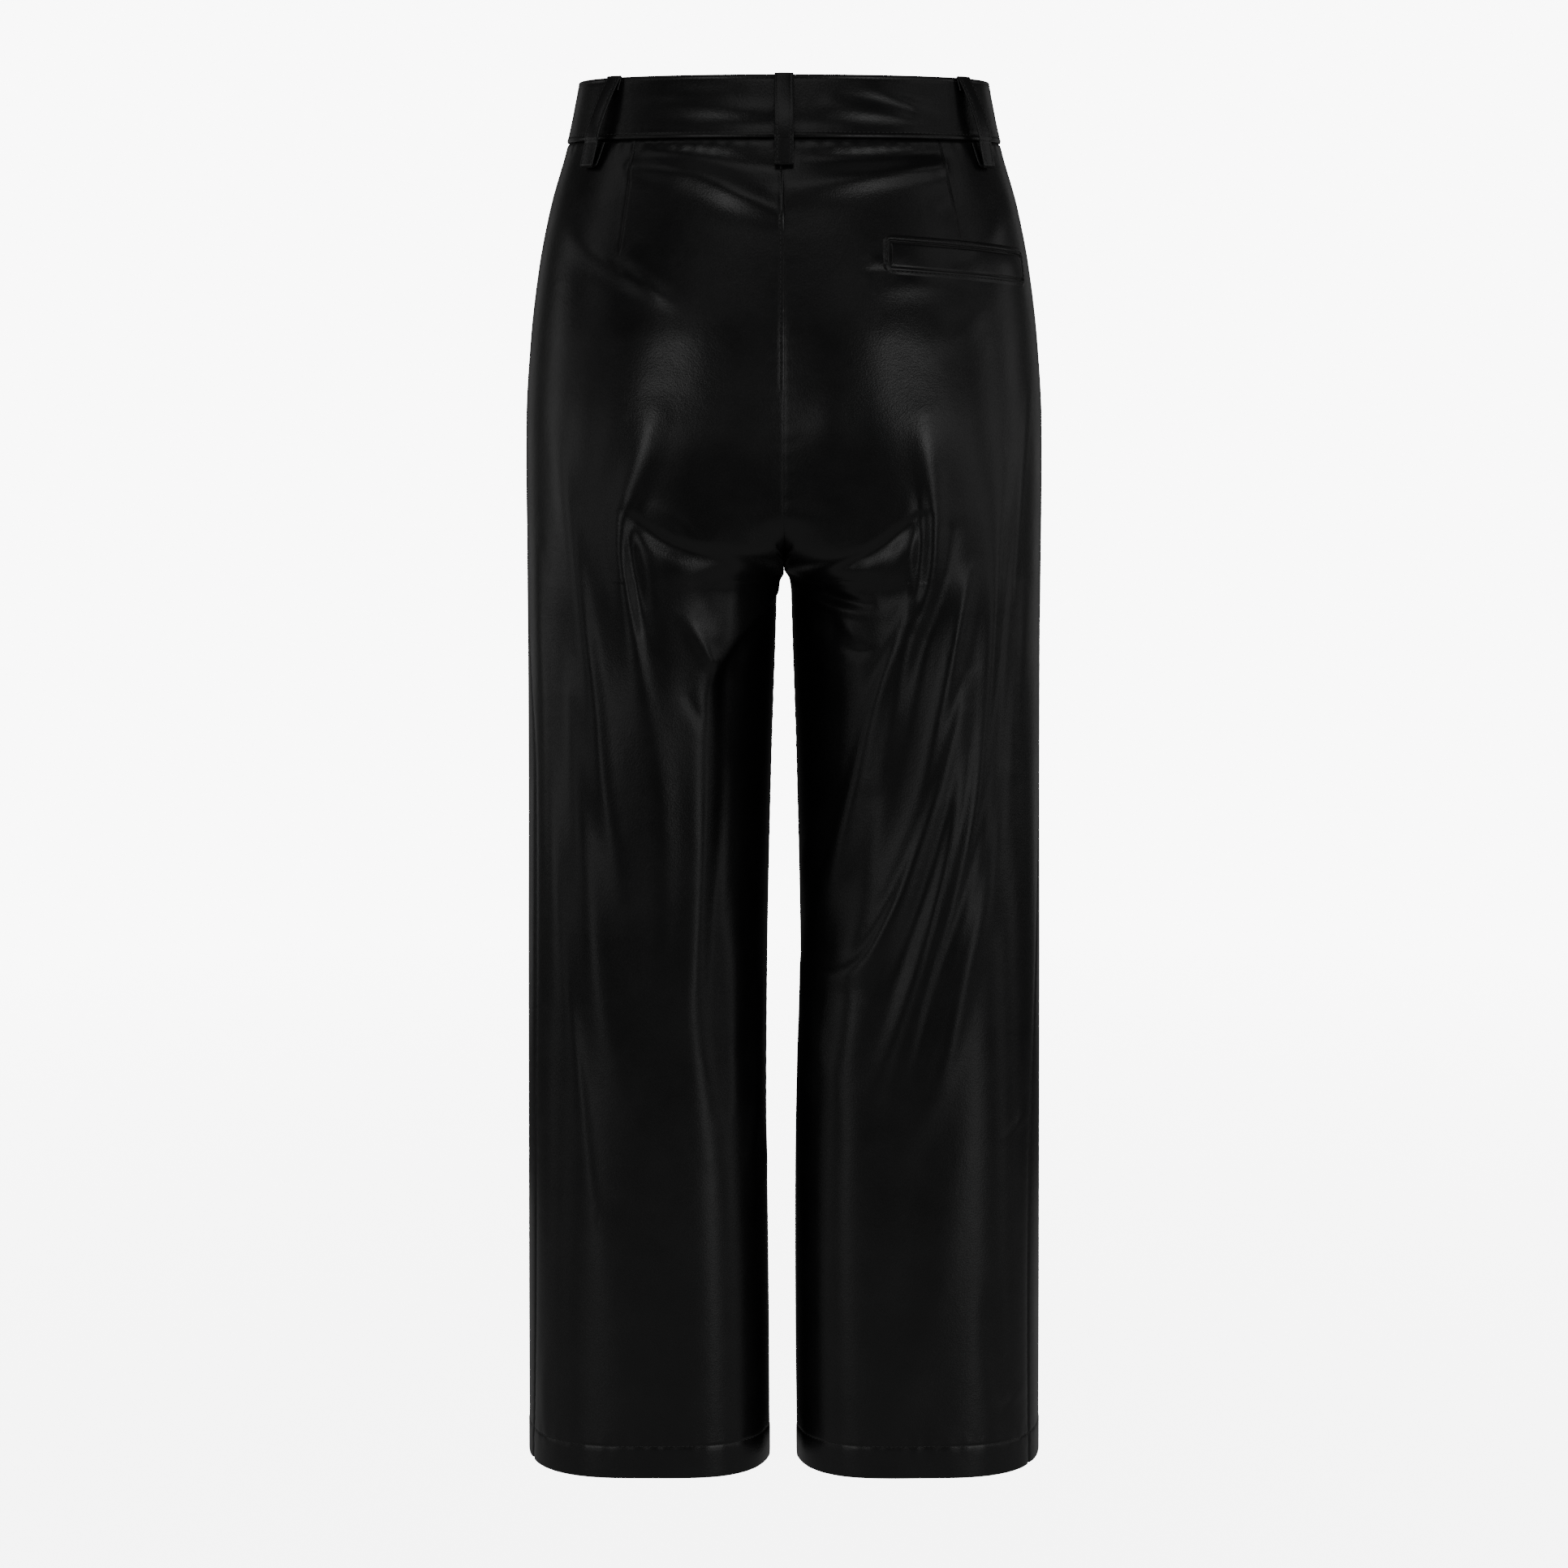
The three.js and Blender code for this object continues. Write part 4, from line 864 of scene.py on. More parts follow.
def stitches_along(paths, sewing):
    """Arrays of (start, end, normal) of stitches along paths of (points, normals)."""
    starts, ends, ups = [], [], []
    pitch = sewing.spacing / MM
    length = sewing.stitch / MM
    for points, normals in paths:
        run = np.concatenate([[0.0], np.cumsum(np.linalg.norm(np.diff(points, axis=0), axis=1))])
        count = int(run[-1] // pitch)
        at = (run[-1] - count * pitch) / 2 + np.arange(count) * pitch
        for where, stored in ((at, starts), (at + length, ends)):
            stored.append(np.stack([np.interp(where, run, points[:, k]) for k in range(3)], -1))
        ups.append(np.stack([np.interp(at + length / 2, run, normals[:, k]) for k in range(3)], -1))
    return np.concatenate(starts), np.concatenate(ends), unit(np.concatenate(ups))


def thread_mesh(name, starts, ends, ups, thick, material):
    """Joined short threads, each bowed up between two points where it dips into the leather."""
    along = ends - starts
    sideways = unit(np.cross(along, ups))
    turns = np.arange(STITCH_SIDES) * 2 * math.pi / STITCH_SIDES
    rings = []
    for share, rise, wide in STITCH_RINGS:
        centre = starts + along * share + ups * rise * thick / 2
        for turn in turns:
            off = sideways * math.cos(turn) + ups * math.sin(turn)
            rings.append(centre + off * wide * thick / 2)
    points = np.stack(rings, 1)
    per = points.shape[1]
    faces = []
    for k in range(len(STITCH_RINGS) - 1):
        for j in range(STITCH_SIDES):
            a = k * STITCH_SIDES + j
            b = k * STITCH_SIDES + (j + 1) % STITCH_SIDES
            faces.append((a, a + STITCH_SIDES, b + STITCH_SIDES, b))
    faces = np.array(faces)
    all_faces = (faces[None] + (np.arange(len(points)) * per)[:, None, None]).reshape(-1, 4)
    return mesh_object(name, points.reshape(-1, 3), all_faces, [material], flat_over=80.0)


# Materials

def node_material(name):
    material = bpy.data.materials.new(name)
    material.use_nodes = True
    nodes = material.node_tree.nodes
    return material, nodes, material.node_tree.links, nodes["Principled BSDF"]


def texture(nodes, links, kind, scale, coordinates, **settings):
    node = nodes.new(kind)
    node.inputs["Scale"].default_value = scale
    for key, value in settings.items():
        if key in node.inputs:
            node.inputs[key].default_value = value
        else:
            setattr(node, key, value)
    links.new(coordinates, node.inputs["Vector"])
    return node


def remap(nodes, links, source, low, high, to_low, to_high):
    node = nodes.new("ShaderNodeMapRange")
    for key, value in (("From Min", low), ("From Max", high), ("To Min", to_low), ("To Max", to_high)):
        node.inputs[key].default_value = value
    links.new(source, node.inputs["Value"])
    return node.outputs["Result"]


def bump(nodes, links, height, strength, distance, below=None):
    node = nodes.new("ShaderNodeBump")
    node.inputs["Strength"].default_value = strength
    node.inputs["Distance"].default_value = distance
    links.new(height, node.inputs["Height"])
    if below is not None:
        links.new(below, node.inputs["Normal"])
    return node.outputs["Normal"]


def blend_colours(nodes, links, share, first, second):
    node = nodes.new("ShaderNodeMix")
    node.data_type = "RGBA"
    node.inputs["A"].default_value = (*first, 1.0)
    node.inputs["B"].default_value = (*second, 1.0)
    links.new(share, node.inputs["Factor"])
    return node.outputs["Result"]


def leather_material(cloth_settings):
    """Black coated leather: fine pebbles, pores, faint unevenness and a soft gloss."""
    material, nodes, links, shader = node_material("pebbled_leather")
    place = nodes.new("ShaderNodeTexCoord").outputs["Object"]
    patches = texture(nodes, links, "ShaderNodeTexNoise", 22.0, place, Detail=3.0, Roughness=0.6)
    fine = texture(nodes, links, "ShaderNodeTexNoise", 2600.0, place, Detail=2.0, Roughness=0.7)
    pebble_scale = 1.0 / cloth_settings.grain_size
    pebbles = texture(nodes, links, "ShaderNodeTexVoronoi", pebble_scale, place, feature="SMOOTH_F1", Smoothness=0.6)
    uneven = texture(nodes, links, "ShaderNodeTexNoise", 75.0, place, Detail=2.0, Roughness=0.55)
    colour = blend_colours(
        nodes, links, remap(nodes, links, patches.outputs["Fac"], 0.35, 0.7, 0.0, 1.0),
        tuple(cloth_settings.colour), tuple(cloth_settings.worn_colour),
    )
    links.new(colour, shader.inputs["Base Color"])
    mean = cloth_settings.roughness
    rough = remap(nodes, links, patches.outputs["Fac"], 0.3, 0.7, mean - 0.035, mean + 0.035)
    links.new(rough, shader.inputs["Roughness"])
    shader.inputs["Specular IOR Level"].default_value = 0.5
    shader.inputs["Coat Weight"].default_value = 0.12
    shader.inputs["Coat Roughness"].default_value = 0.24
    normal = bump(nodes, links, uneven.outputs["Fac"], 0.5, 0.0003)
    normal = bump(nodes, links, pebbles.outputs["Distance"], 0.6, cloth_settings.grain_depth, normal)
    normal = bump(nodes, links, fine.outputs["Fac"], 0.35, cloth_settings.grain_depth * 0.5, normal)
    links.new(normal, shader.inputs["Normal"])
    links.new(normal, shader.inputs["Coat Normal"])
    return material


def backing_material(cloth_settings):
    """The knitted inside of the coated cloth."""
    material, nodes, links, shader = node_material("knitted_backing")
    place = nodes.new("ShaderNodeTexCoord").outputs["Object"]
    ribs = nodes.new("ShaderNodeTexWave")
    ribs.inputs["Scale"].default_value = 420.0
    ribs.inputs["Distortion"].default_value = 1.5
    ribs.inputs["Detail"].default_value = 2.0
    links.new(place, ribs.inputs["Vector"])
    fuzz = texture(nodes, links, "ShaderNodeTexNoise", 1400.0, place, Detail=3.0)
    base = np.array(cloth_settings.backing_colour)
    colour = blend_colours(nodes, links, fuzz.outputs["Fac"], tuple(base * 0.7), tuple(base * 1.4))
    links.new(colour, shader.inputs["Base Color"])
    shader.inputs["Roughness"].default_value = 0.92
    shader.inputs["Specular IOR Level"].default_value = 0.2
    normal = bump(nodes, links, ribs.outputs["Fac"], 0.4, 0.0002)
    links.new(bump(nodes, links, fuzz.outputs["Fac"], 0.4, 0.0001, normal), shader.inputs["Normal"])
    return material


def thread_material(sewing):
    """Spun polyester thread with a low twist sheen; its colour is partly the thread's own dark tone and partly painted
    highlight.
    """
    material, nodes, links, shader = node_material("thread")
    place = nodes.new("ShaderNodeTexCoord").outputs["Object"]
    twist = texture(nodes, links, "ShaderNodeTexNoise", 3500.0, place, Detail=2.0)
    # The thread's colour is lifted above black, a painted highlight on top of its own dark tone.
    base = np.array(sewing.thread_tone_and_highlight)
    colour = blend_colours(nodes, links, twist.outputs["Fac"], tuple(base * 0.7), tuple(base * 1.5))
    links.new(colour, shader.inputs["Base Color"])
    shader.inputs["Roughness"].default_value = 0.5
    shader.inputs["Sheen Weight"].default_value = 0.1
    links.new(bump(nodes, links, twist.outputs["Fac"], 0.5, 0.00008), shader.inputs["Normal"])
    return material


def tape_material():
    """Woven zip tape."""
    material, nodes, links, shader = node_material("woven_tape")
    place = nodes.new("ShaderNodeTexCoord").outputs["Object"]
    weave = texture(nodes, links, "ShaderNodeTexChecker", 2200.0, place)
    fuzz = texture(nodes, links, "ShaderNodeTexNoise", 900.0, place, Detail=2.0)
    links.new(
        blend_colours(nodes, links, fuzz.outputs["Fac"], (0.008, 0.008, 0.009), (0.016, 0.016, 0.017)),
        shader.inputs["Base Color"],
    )
    shader.inputs["Roughness"].default_value = 0.85
    links.new(bump(nodes, links, weave.outputs["Fac"], 0.3, 0.00015), shader.inputs["Normal"])
    return material


def metal_material():
    """Black lacquered metal, a little worn."""
    material, nodes, links, shader = node_material("lacquered_metal")
    place = nodes.new("ShaderNodeTexCoord").outputs["Object"]
    wear = texture(nodes, links, "ShaderNodeTexNoise", 500.0, place, Detail=4.0)
    links.new(
        blend_colours(
            nodes, links, remap(nodes, links, wear.outputs["Fac"], 0.55, 0.75, 0.0, 1.0),
            (0.018, 0.018, 0.019), (0.05, 0.05, 0.052),
        ),
        shader.inputs["Base Color"],
    )
    shader.inputs["Metallic"].default_value = 0.9
    links.new(remap(nodes, links, wear.outputs["Fac"], 0.3, 0.7, 0.25, 0.42), shader.inputs["Roughness"])
    return material


def button_material():
    """Black polyester button with a turned face."""
    material, nodes, links, shader = node_material("button_gloss")
    place = nodes.new("ShaderNodeTexCoord").outputs["Object"]
    turned = texture(nodes, links, "ShaderNodeTexNoise", 300.0, place, Detail=2.0)
    links.new(
        blend_colours(nodes, links, turned.outputs["Fac"], (0.010, 0.010, 0.011), (0.018, 0.018, 0.019)),
        shader.inputs["Base Color"],
    )
    shader.inputs["Coat Weight"].default_value = 0.3
    shader.inputs["Coat Roughness"].default_value = 0.1
    links.new(remap(nodes, links, turned.outputs["Fac"], 0.3, 0.7, 0.22, 0.32), shader.inputs["Roughness"])
    return material


def material_named(name, make, *settings):
    """A material of this file, made the first time that it is asked for."""
    return bpy.data.materials.get(name) or make(*settings)


def leather_pair(context):
    settings = context.scene.trousers_cloth
    return [
        material_named("pebbled_leather", leather_material, settings),
        material_named("knitted_backing", backing_material, settings),
    ]


def fit_to_frame(piece, slot, *nodes):
    """The piece rides on the one body and stands for these nodes, which it hides. The slot is not used."""
    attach(piece, "root")
    if nodes:
        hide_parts(*nodes)
    return piece


class TROUSERS_OT_leg_panels(Operator):
    """Adds the two back and two front panels with their folds, seams, darts and hems"""

    bl_idname = "trousers.leg_panels"
    bl_label = "Leg Panels"

    def execute(self, context):
        settings = context.scene.trousers_cloth
        wall = settings.wall / MM
        heights = panel_heights()
        in_hem = smooth((HEM + HEM_DEPTH + 1 - heights) / 2)[:, None, None]
        thick = wall + (HEM_WALL - wall) * in_hem
        for name, side, on in (
            ("back_left", LEFT, BACK),
            ("back_right", RIGHT, BACK),
            ("front_left", LEFT, FRONT),
            ("front_right", RIGHT, FRONT),
        ):
            shares, guide = panel_shares(side, on)
            lengths = panel_lengths(side, on, heights, shares, guide)
            outer = cloth(side, on, heights, lengths, settings.fold_depth)
            inner = outer - grid_normals(outer, -side * on) * thick
            inner[..., 0] = side * np.maximum(inner[..., 0] * side, HALF_GAP)
            piece = shell(name + "_leather", outer, inner, -side * on, leather_pair(context))
            fit_to_frame(piece, "leather", name)
        for name, on, top in (
            ("seat_seam_allowance", BACK, BAND_FOOT - 1.0),
            ("front_seam_allowance", FRONT, FRONT_ALLOWANCE_TOP),
        ):
            fit_to_frame(seam_allowance(name, on, top, wall, leather_pair(context)), "leather")
        return {"FINISHED"}


def seam_allowance(name, on, top, wall, materials):
    """The pressed seam allowances inside a centre seam, as one strip down to the fork."""
    heights = spread(top, FORK + ALLOWANCE_FOOT, PITCH_DOWN)
    halves = []
    for side in (LEFT, RIGHT):
        lasts = np.array([[row_line(side, on, float(height))["last"]] for height in heights])
        lengths = lasts - np.append(ALLOWANCE_STEPS, 0.0)
        face = cloth(side, on, heights, lengths)
        inwards = -grid_normals(face, -side * on)
        halves.append([face + inwards * (wall + ALLOWANCE_GAP + depth) for depth in (0.0, ALLOWANCE_WALL)])
    faces = []
    for left, right in zip(*halves):
        left[..., 0] = np.maximum(left[..., 0], 0)
        right[..., 0] = np.minimum(right[..., 0], 0)
        middle = (left[:, -1:] + right[:, -1:]) / 2
        middle[..., 0] = 0
        faces.append(np.concatenate([left[:, :-1], middle, right[:, :-1][:, ::-1]], axis=1))
    return shell(name, faces[0], faces[1], -on, materials)


class TROUSERS_OT_waistband(Operator):
    """Adds the waistband with its rolled edges, folds and underlap"""

    bl_idname = "trousers.waistband"
    bl_label = "Waistband"

    def execute(self, context):
        side = section_at(0.0)["side"]
        start = -math.pi + HALF_GAP / side
        end = math.pi + UNDERLAP / side
        turns = np.linspace(start, end, BAND_COLUMNS + 1)
        foot = BAND_FOOT + HALF_GAP
        steps = np.array(BAND_STEPS)
        heights = np.concatenate([BAND_TOP - steps, spread(BAND_TOP - steps[-1], foot + steps[-1], 1.8), foot + steps])
        heights = np.unique(heights.round(4))[::-1]
        face = waistband_step(turns)
        outer = np.stack([ring(turns, h, face + band_relief(turns, h)) for h in heights])
        rolled = np.minimum(BAND_TOP - heights, heights - foot)
        tuck = BAND_ROUND * (1 - np.sqrt(1 - np.clip(1 - rolled / BAND_ROUND, 0, 1) ** 2))
        inner = np.stack([ring(turns, h, face - BAND_WALL + t) for h, t in zip(heights, tuck)])
        leather = leather_pair(context)[0]
        piece = shell("waistband_leather", outer, inner, 1, [leather])
        fit_to_frame(piece, "leather", "waistband")
        return {"FINISHED"}


def loop_end(height, out, way, back):
    """The turned-under end of a loop, from where it bends: way is 1 at the top and -1 at the foot."""
    bend = (out - LOOP_BACK_AT) / 2
    turn = np.linspace(0, math.pi, 12)[1:]
    bent = np.stack([height + way * bend * np.sin(turn), out - bend * (1 - np.cos(turn))], -1)
    run = np.linspace(0, back, 8)[1:]
    straight = np.stack([height - way * run, np.full(len(run), LOOP_BACK_AT)], -1)
    return np.concatenate([bent, straight])


def loop_line():
    """The middle of a loop's strip from its top end to its foot end, as (height, out)."""
    share = np.linspace(0, 1, 56)
    foot = LOOP_FOOT + (LOOP_OUT_FOOT - LOOP_BACK_AT) / 2
    heights = LOOP_TOP + (foot - LOOP_TOP) * share
    outs = LOOP_OUT_TOP + (LOOP_OUT_FOOT - LOOP_OUT_TOP) * share + LOOP_BOW * np.sin(math.pi * share)
    return np.concatenate([
        loop_end(LOOP_TOP, LOOP_OUT_TOP, 1, LOOP_RETURN_TOP)[::-1],
        np.stack([heights, outs], -1),
        loop_end(foot, LOOP_OUT_FOOT, -1, LOOP_RETURN_FOOT - (foot - LOOP_FOOT)),
    ])


def loop_grid(top_turn, foot_turn, across):
    """The middle surface of a loop at distances across its width."""
    rows = []
    for height, out in loop_line():
        share = min(max((height - LOOP_TOP) / (LOOP_FOOT - LOOP_TOP), 0), 1)
        turn = top_turn + (foot_turn - top_turn) * share
        half = half_turn(turn, height, LOOP_WIDE)
        proud = BAND_PROUD * float(smooth((height - BAND_FOOT + 1) / 2))
        rows.append(ring(turn + across / (LOOP_WIDE / 2) * half, height, out + proud))
    return np.stack(rows)


class TROUSERS_OT_belt_loops(Operator):
    """Adds the five belt loops, each a folded strip turned under at both ends"""

    bl_idname = "trousers.belt_loops"
    bl_label = "Belt Loops"

    def execute(self, context):
        half = LOOP_WIDE / 2
        across = np.array([-half, -half + 0.12, -half + 0.4, -half + LOOP_EDGE, -half + 1.4, -half + LOOP_STITCH,
                           -half + 2.5, -2.0, 0.0])
        across = np.concatenate([across, -across[:-1][::-1]])
        edge = np.clip((np.abs(across) - half + LOOP_EDGE) / LOOP_EDGE, 0, 1)
        thick = LOOP_HALF_THICK * np.sqrt(np.maximum(1 - edge**2, 0.01))
        thick = thick - 0.16 * bump_over(np.abs(across) - half + LOOP_STITCH, 0.6)
        for name, top, foot in LOOPS:
            middle = loop_grid(math.radians(top), math.radians(foot), across)
            out = grid_normals(middle, 1.0) * thick[None, :, None]
            piece = shell(name + "_strip", middle + out, middle - out, 1, [leather_pair(context)[0]])
            fit_to_frame(piece, "leather", name)
        return {"FINISHED"}


def welt_place(share, drop):
    """A point of the welt as (arc length from the centre back seam, height)."""
    along = WELT_INNER[0] + (WELT_OUTER[0] - WELT_INNER[0]) * share
    height = WELT_INNER[1] + (WELT_OUTER[1] - WELT_INNER[1]) * share + WELT_DEPTH * (0.5 - drop)
    return along, height


def on_right_back(alongs, heights, out):
    """Points over the right back panel, one for each pair of arc length and height."""
    flat = np.ravel(heights)
    lasts = np.array([row_line(RIGHT, BACK, float(height))["last"] for height in flat])
    lifts = np.broadcast_to(out, np.shape(alongs)).ravel()[:, None]
    points = cloth(RIGHT, BACK, flat, (lasts - np.ravel(alongs))[:, None], FOLD_DEPTH, lifts)
    return points.reshape(*np.shape(alongs), 3)


class TROUSERS_OT_pocket(Operator):
    """Adds the welt and the turned edge of the pocket mouth round it"""

    bl_idname = "trousers.pocket"
    bl_label = "Welt Pocket"

    def execute(self, context):
        leather = leather_pair(context)[0]
        share = np.concatenate([[0, 0.002, 0.005, 0.009], np.linspace(0.014, 0.986, 49), [0.991, 0.995, 0.998, 1]])
        drop = np.array([0, 0.02, 0.045, 0.08, 0.14, 0.24, 0.37, 0.5, 0.63, 0.76, 0.86, 0.92, 0.955, 0.98, 1.0])
        shares, drops = np.meshgrid(share, drop)
        alongs, heights = welt_place(shares, drops)
        inside = np.minimum(np.minimum(shares, 1 - shares) * WELT_LONG, np.minimum(drops, 1 - drops) * WELT_DEPTH)
        swell = WELT_SWELL * np.sin(math.pi * drops) ** 0.8 + WELT_WAVE * np.sin(shares * 17.0) * np.sin(math.pi * drops)
        outer = on_right_back(alongs, heights, WELT_LOW + (WELT_LIFT + swell - WELT_LOW) * smooth(inside / WELT_ROUND))
        inner = on_right_back(alongs, heights, WELT_UNDER)
        welt = shell("pocket_welt_strip", outer, inner, -1, [leather])
        fit_to_frame(welt, "leather", "pocket_welt")
        fit_to_frame(pocket_edge(leather), "leather")
        return {"FINISHED"}


# The turned edge round the mouth, from the welt outwards, as (distance from the welt, height)
POCKET_PROFILE = (
    (0.9, -0.3), (0.95, 0.35), (1.15, 0.62), (1.5, 0.72), (1.9, 0.5), (2.4, 0.28),
    (2.8, 0.4), (3.2, 0.5), (3.7, 0.4), (4.4, 0.2), (5.2, 0.03),
)
CORNER_STEPS = 6


def mouth_outline(off):
    """The welt's rectangle grown by off, as arc lengths and heights, with rounded corners."""
    long = WELT_OUTER[0] - WELT_INNER[0]
    tilt = (WELT_OUTER[1] - WELT_INNER[1]) / long
    sides = ((0, 0.5, 1, 0.5), (1, 0.5, 1, -0.5), (1, -0.5, 0, -0.5), (0, -0.5, 0, 0.5))
    ways = ((0, 1), (1, 0), (0, -1), (-1, 0))
    points = []
    for (a, b, c, d), (push_x, push_y), following in zip(sides, ways, ways[1:] + ways[:1]):
        start = np.array([a * long, b * WELT_DEPTH])
        end = np.array([c * long, d * WELT_DEPTH])
        count = 46 if push_y else 8
        for t in np.linspace(0, 1, count + 1)[:-1]:
            points.append(start + (end - start) * t + np.array([push_x, push_y]) * off)
        for k in range(CORNER_STEPS):
            lean = k / CORNER_STEPS * math.pi / 2
            way = np.array([push_x, push_y]) * math.cos(lean) + np.array(following) * math.sin(lean)
            points.append(end + way * off)
    points = np.array(points)
    return WELT_INNER[0] + points[:, 0], WELT_INNER[1] + points[:, 0] * tilt + points[:, 1]


def pocket_edge(leather):
    """The panel's own edge round the mouth, turned under and stitched, as a raised frame."""
    rings = [on_right_back(*mouth_outline(off), lift) for off, lift in POCKET_PROFILE]
    rings.append(on_right_back(*mouth_outline(POCKET_EDGE), -0.3))
    rings.append(on_right_back(*mouth_outline(POCKET_PROFILE[0][0]), -0.3))
    count = len(rings[0])
    levels = len(rings)
    faces = []
    for i in range(levels):
        for j in range(count):
            a, b = i * count + j, i * count + (j + 1) % count
            c, d = ((i + 1) % levels) * count + (j + 1) % count, ((i + 1) % levels) * count + j
            faces.append((a, b, c, d))
    return mesh_object("pocket_mouth_edge", np.concatenate(rings), faces, [leather], flat_over=70.0)


def row_on_cloth(side, on, heights, lengths, out=0.0):
    """A path over a panel with its normals, from matching heights and lengths from the side seam."""
    heights = np.asarray(heights, float)
    lengths = np.asarray(lengths, float)[:, None]
    points = cloth(side, on, heights, lengths, FOLD_DEPTH, out)[:, 0]
    beside = cloth(side, on, heights, lengths + 0.8, FOLD_DEPTH, out)[:, 0]
    lower = cloth(side, on, heights - 0.8, lengths, FOLD_DEPTH, out)[:, 0]
    normals = unit(np.cross(beside - points, lower - points)) * (-side * on)
    return points, normals


def row_on_band(height, start, end):
    """A path round the waistband at a height, between two turns, with its normals."""
    turns = np.linspace(start, end, int(abs(end - start) * 143 / 2) + 2)
    face = waistband_step(turns)
    points = ring(turns, height, face + band_relief(turns, height))
    further = ring(turns, height, face + band_relief(turns, height) + 1.0)
    return points, unit(further - points)


class TROUSERS_OT_sewing(Operator):
    """Adds every row of stitches as joined short threads"""

    bl_idname = "trousers.sewing"
    bl_label = "Sewing"

    def execute(self, context):
        sewing = context.scene.trousers_sewing
        thread = material_named("thread", thread_material, sewing)
        thick = sewing.thread / MM
        side = section_at(0.0)["side"]
        front_end = math.pi - 2.5 / side
        band = [row_on_band(h, -front_end, front_end) for h in (BAND_STITCH_TOP, BAND_STITCH_FOOT)]
        self.add("waistband_stitches", band, sewing, thick, thread)

        heights = np.arange(BAND_FOOT - 1.5, EDGE_STITCHED_TO, -1.5)
        lengths = [row_line(LEFT, BACK, float(h))["last"] - EDGE_STITCH for h in heights]
        self.add("seat_seam_stitches", [row_on_cloth(LEFT, BACK, heights, lengths)], sewing, thick, thread)

        hems = []
        stitch = HEM + HEM_DEPTH
        for on in (BACK, FRONT):
            for leg in (LEFT, RIGHT):
                last = row_line(leg, on, stitch)["last"]
                lengths = np.arange(1.5, last - 1.5, 2.0)
                hems.append(row_on_cloth(leg, on, np.full(len(lengths), stitch), lengths))
        self.add("hem_stitches", hems, sewing, thick, thread)

        alongs, heights = mouth_outline(POCKET_STITCH)
        alongs, heights = np.append(alongs, alongs[0]), np.append(heights, heights[0])
        lengths = [row_line(RIGHT, BACK, float(h))["last"] - a for a, h in zip(alongs, heights)]
        self.add("pocket_stitches", [row_on_cloth(RIGHT, BACK, heights, lengths, POCKET_STITCH_OUT)], sewing, thick, thread)

        loops = []
        for _, top, foot in LOOPS:
            for edge in (-1, 1):
                at = edge * (LOOP_WIDE / 2 - LOOP_STITCH)
                grid = loop_grid(math.radians(top), math.radians(foot), np.array([at - 0.5, at, at + 0.5]))
                up = grid_normals(grid, 1.0)[:, 1]
                points = grid[:, 1] + up * (LOOP_HALF_THICK - 0.16)
                loops.append((points[18:-18], up[18:-18]))
        self.add("loop_stitches", loops, sewing, thick, thread)

        down = np.linspace(0, 1, 60)
        heights = BAND_FOOT - 2 + (FLY_STITCH_FOOT + 2 - BAND_FOOT) * down
        curve = np.sqrt(np.maximum(1 - np.clip((down - 0.74) / 0.26, 0, 1) ** 2, 0))
        alongs = 1.5 + (FLY_STITCH - 1.5) * curve
        lengths = [row_line(RIGHT, FRONT, float(h))["last"] - a for a, h in zip(alongs, heights)]
        self.add("fly_stitches", [row_on_cloth(RIGHT, FRONT, heights, lengths)], sewing, thick, thread)
        return {"FINISHED"}

    def add(self, name, paths, sewing, thick, thread):
        starts, ends, ups = stitches_along(paths, sewing)
        fit_to_frame(thread_mesh(name, starts, ends, ups, thick, thread), "leather")


def front_point(across, height, inset):
    """A point level with the front seam, behind the outer face of the cloth."""
    side = LEFT if across >= 0 else RIGHT
    row = row_line(side, FRONT, float(height))
    point = cloth(side, FRONT, [height], np.array([[row["last"] - abs(across)]]), FOLD_DEPTH, 0.0, False)[0, 0]
    return np.array([across, point[1] + inset, height])


class TROUSERS_OT_closure(Operator):
    """Finishes the zip, its slider and the button, and adds the teeth and the buttonhole"""

    bl_idname = "trousers.closure"
    bl_label = "Closure"

    def execute(self, context):
        sewing = context.scene.trousers_sewing
        for node, make in (("zip_tape", tape_material), ("zip_slider", metal_material),
                           ("waist_button", button_material)):
            made = make()
            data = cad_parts[node].data
            data.materials.clear()
            data.materials.append(made)
        self.add_teeth()
        self.add_buttonhole(sewing)
        return {"FINISHED"}

    def add_teeth(self):
        """Two rows of coil teeth that meet along the middle of the chain."""
        starts, ends, ups = [], [], []
        for k, height in enumerate(np.arange(TEETH_TOP, TEETH_FOOT, -TEETH_PITCH / 2)):
            reach = 2.4 if k % 2 else -2.4
            back = front_point(0.0, height, TEETH_INSET)
            starts.append(back + np.array([-reach * 0.25, 0, 0]))
            ends.append(back + np.array([reach, 0, 0]))
            ups.append(np.array([0.0, 1.0, 0.0]))
        teeth = thread_mesh("zip_teeth", np.array(starts), np.array(ends), np.array(ups), 0.7,
                            bpy.data.materials["lacquered_metal"])
        fit_to_frame(teeth, "metal")

    def add_buttonhole(self, sewing):
        """Close stitches round the slit behind the button."""
        thread = material_named("thread", thread_material, sewing)
        side = section_at(0.0)["side"]
        starts, ends, ups = [], [], []
        for across in np.arange(BUTTONHOLE[0], BUTTONHOLE[1], 0.55):
            for up in (1, -1):
                turn = np.array([-math.pi + across / side])
                low = ring(turn, 0.25 * up, BAND_PROUD + 0.05)[0]
                high = ring(turn, 1.9 * up, BAND_PROUD + 0.05)[0]
                starts.append(low)
                ends.append(high)
                ups.append(unit(ring(turn, 0.0, 1.0)[0] - ring(turn, 0.0, 0.0)[0]))
        made = thread_mesh("buttonhole_stitches", np.array(starts), np.array(ends), np.array(ups),
                           sewing.thread / MM, thread)
        fit_to_frame(made, "leather")


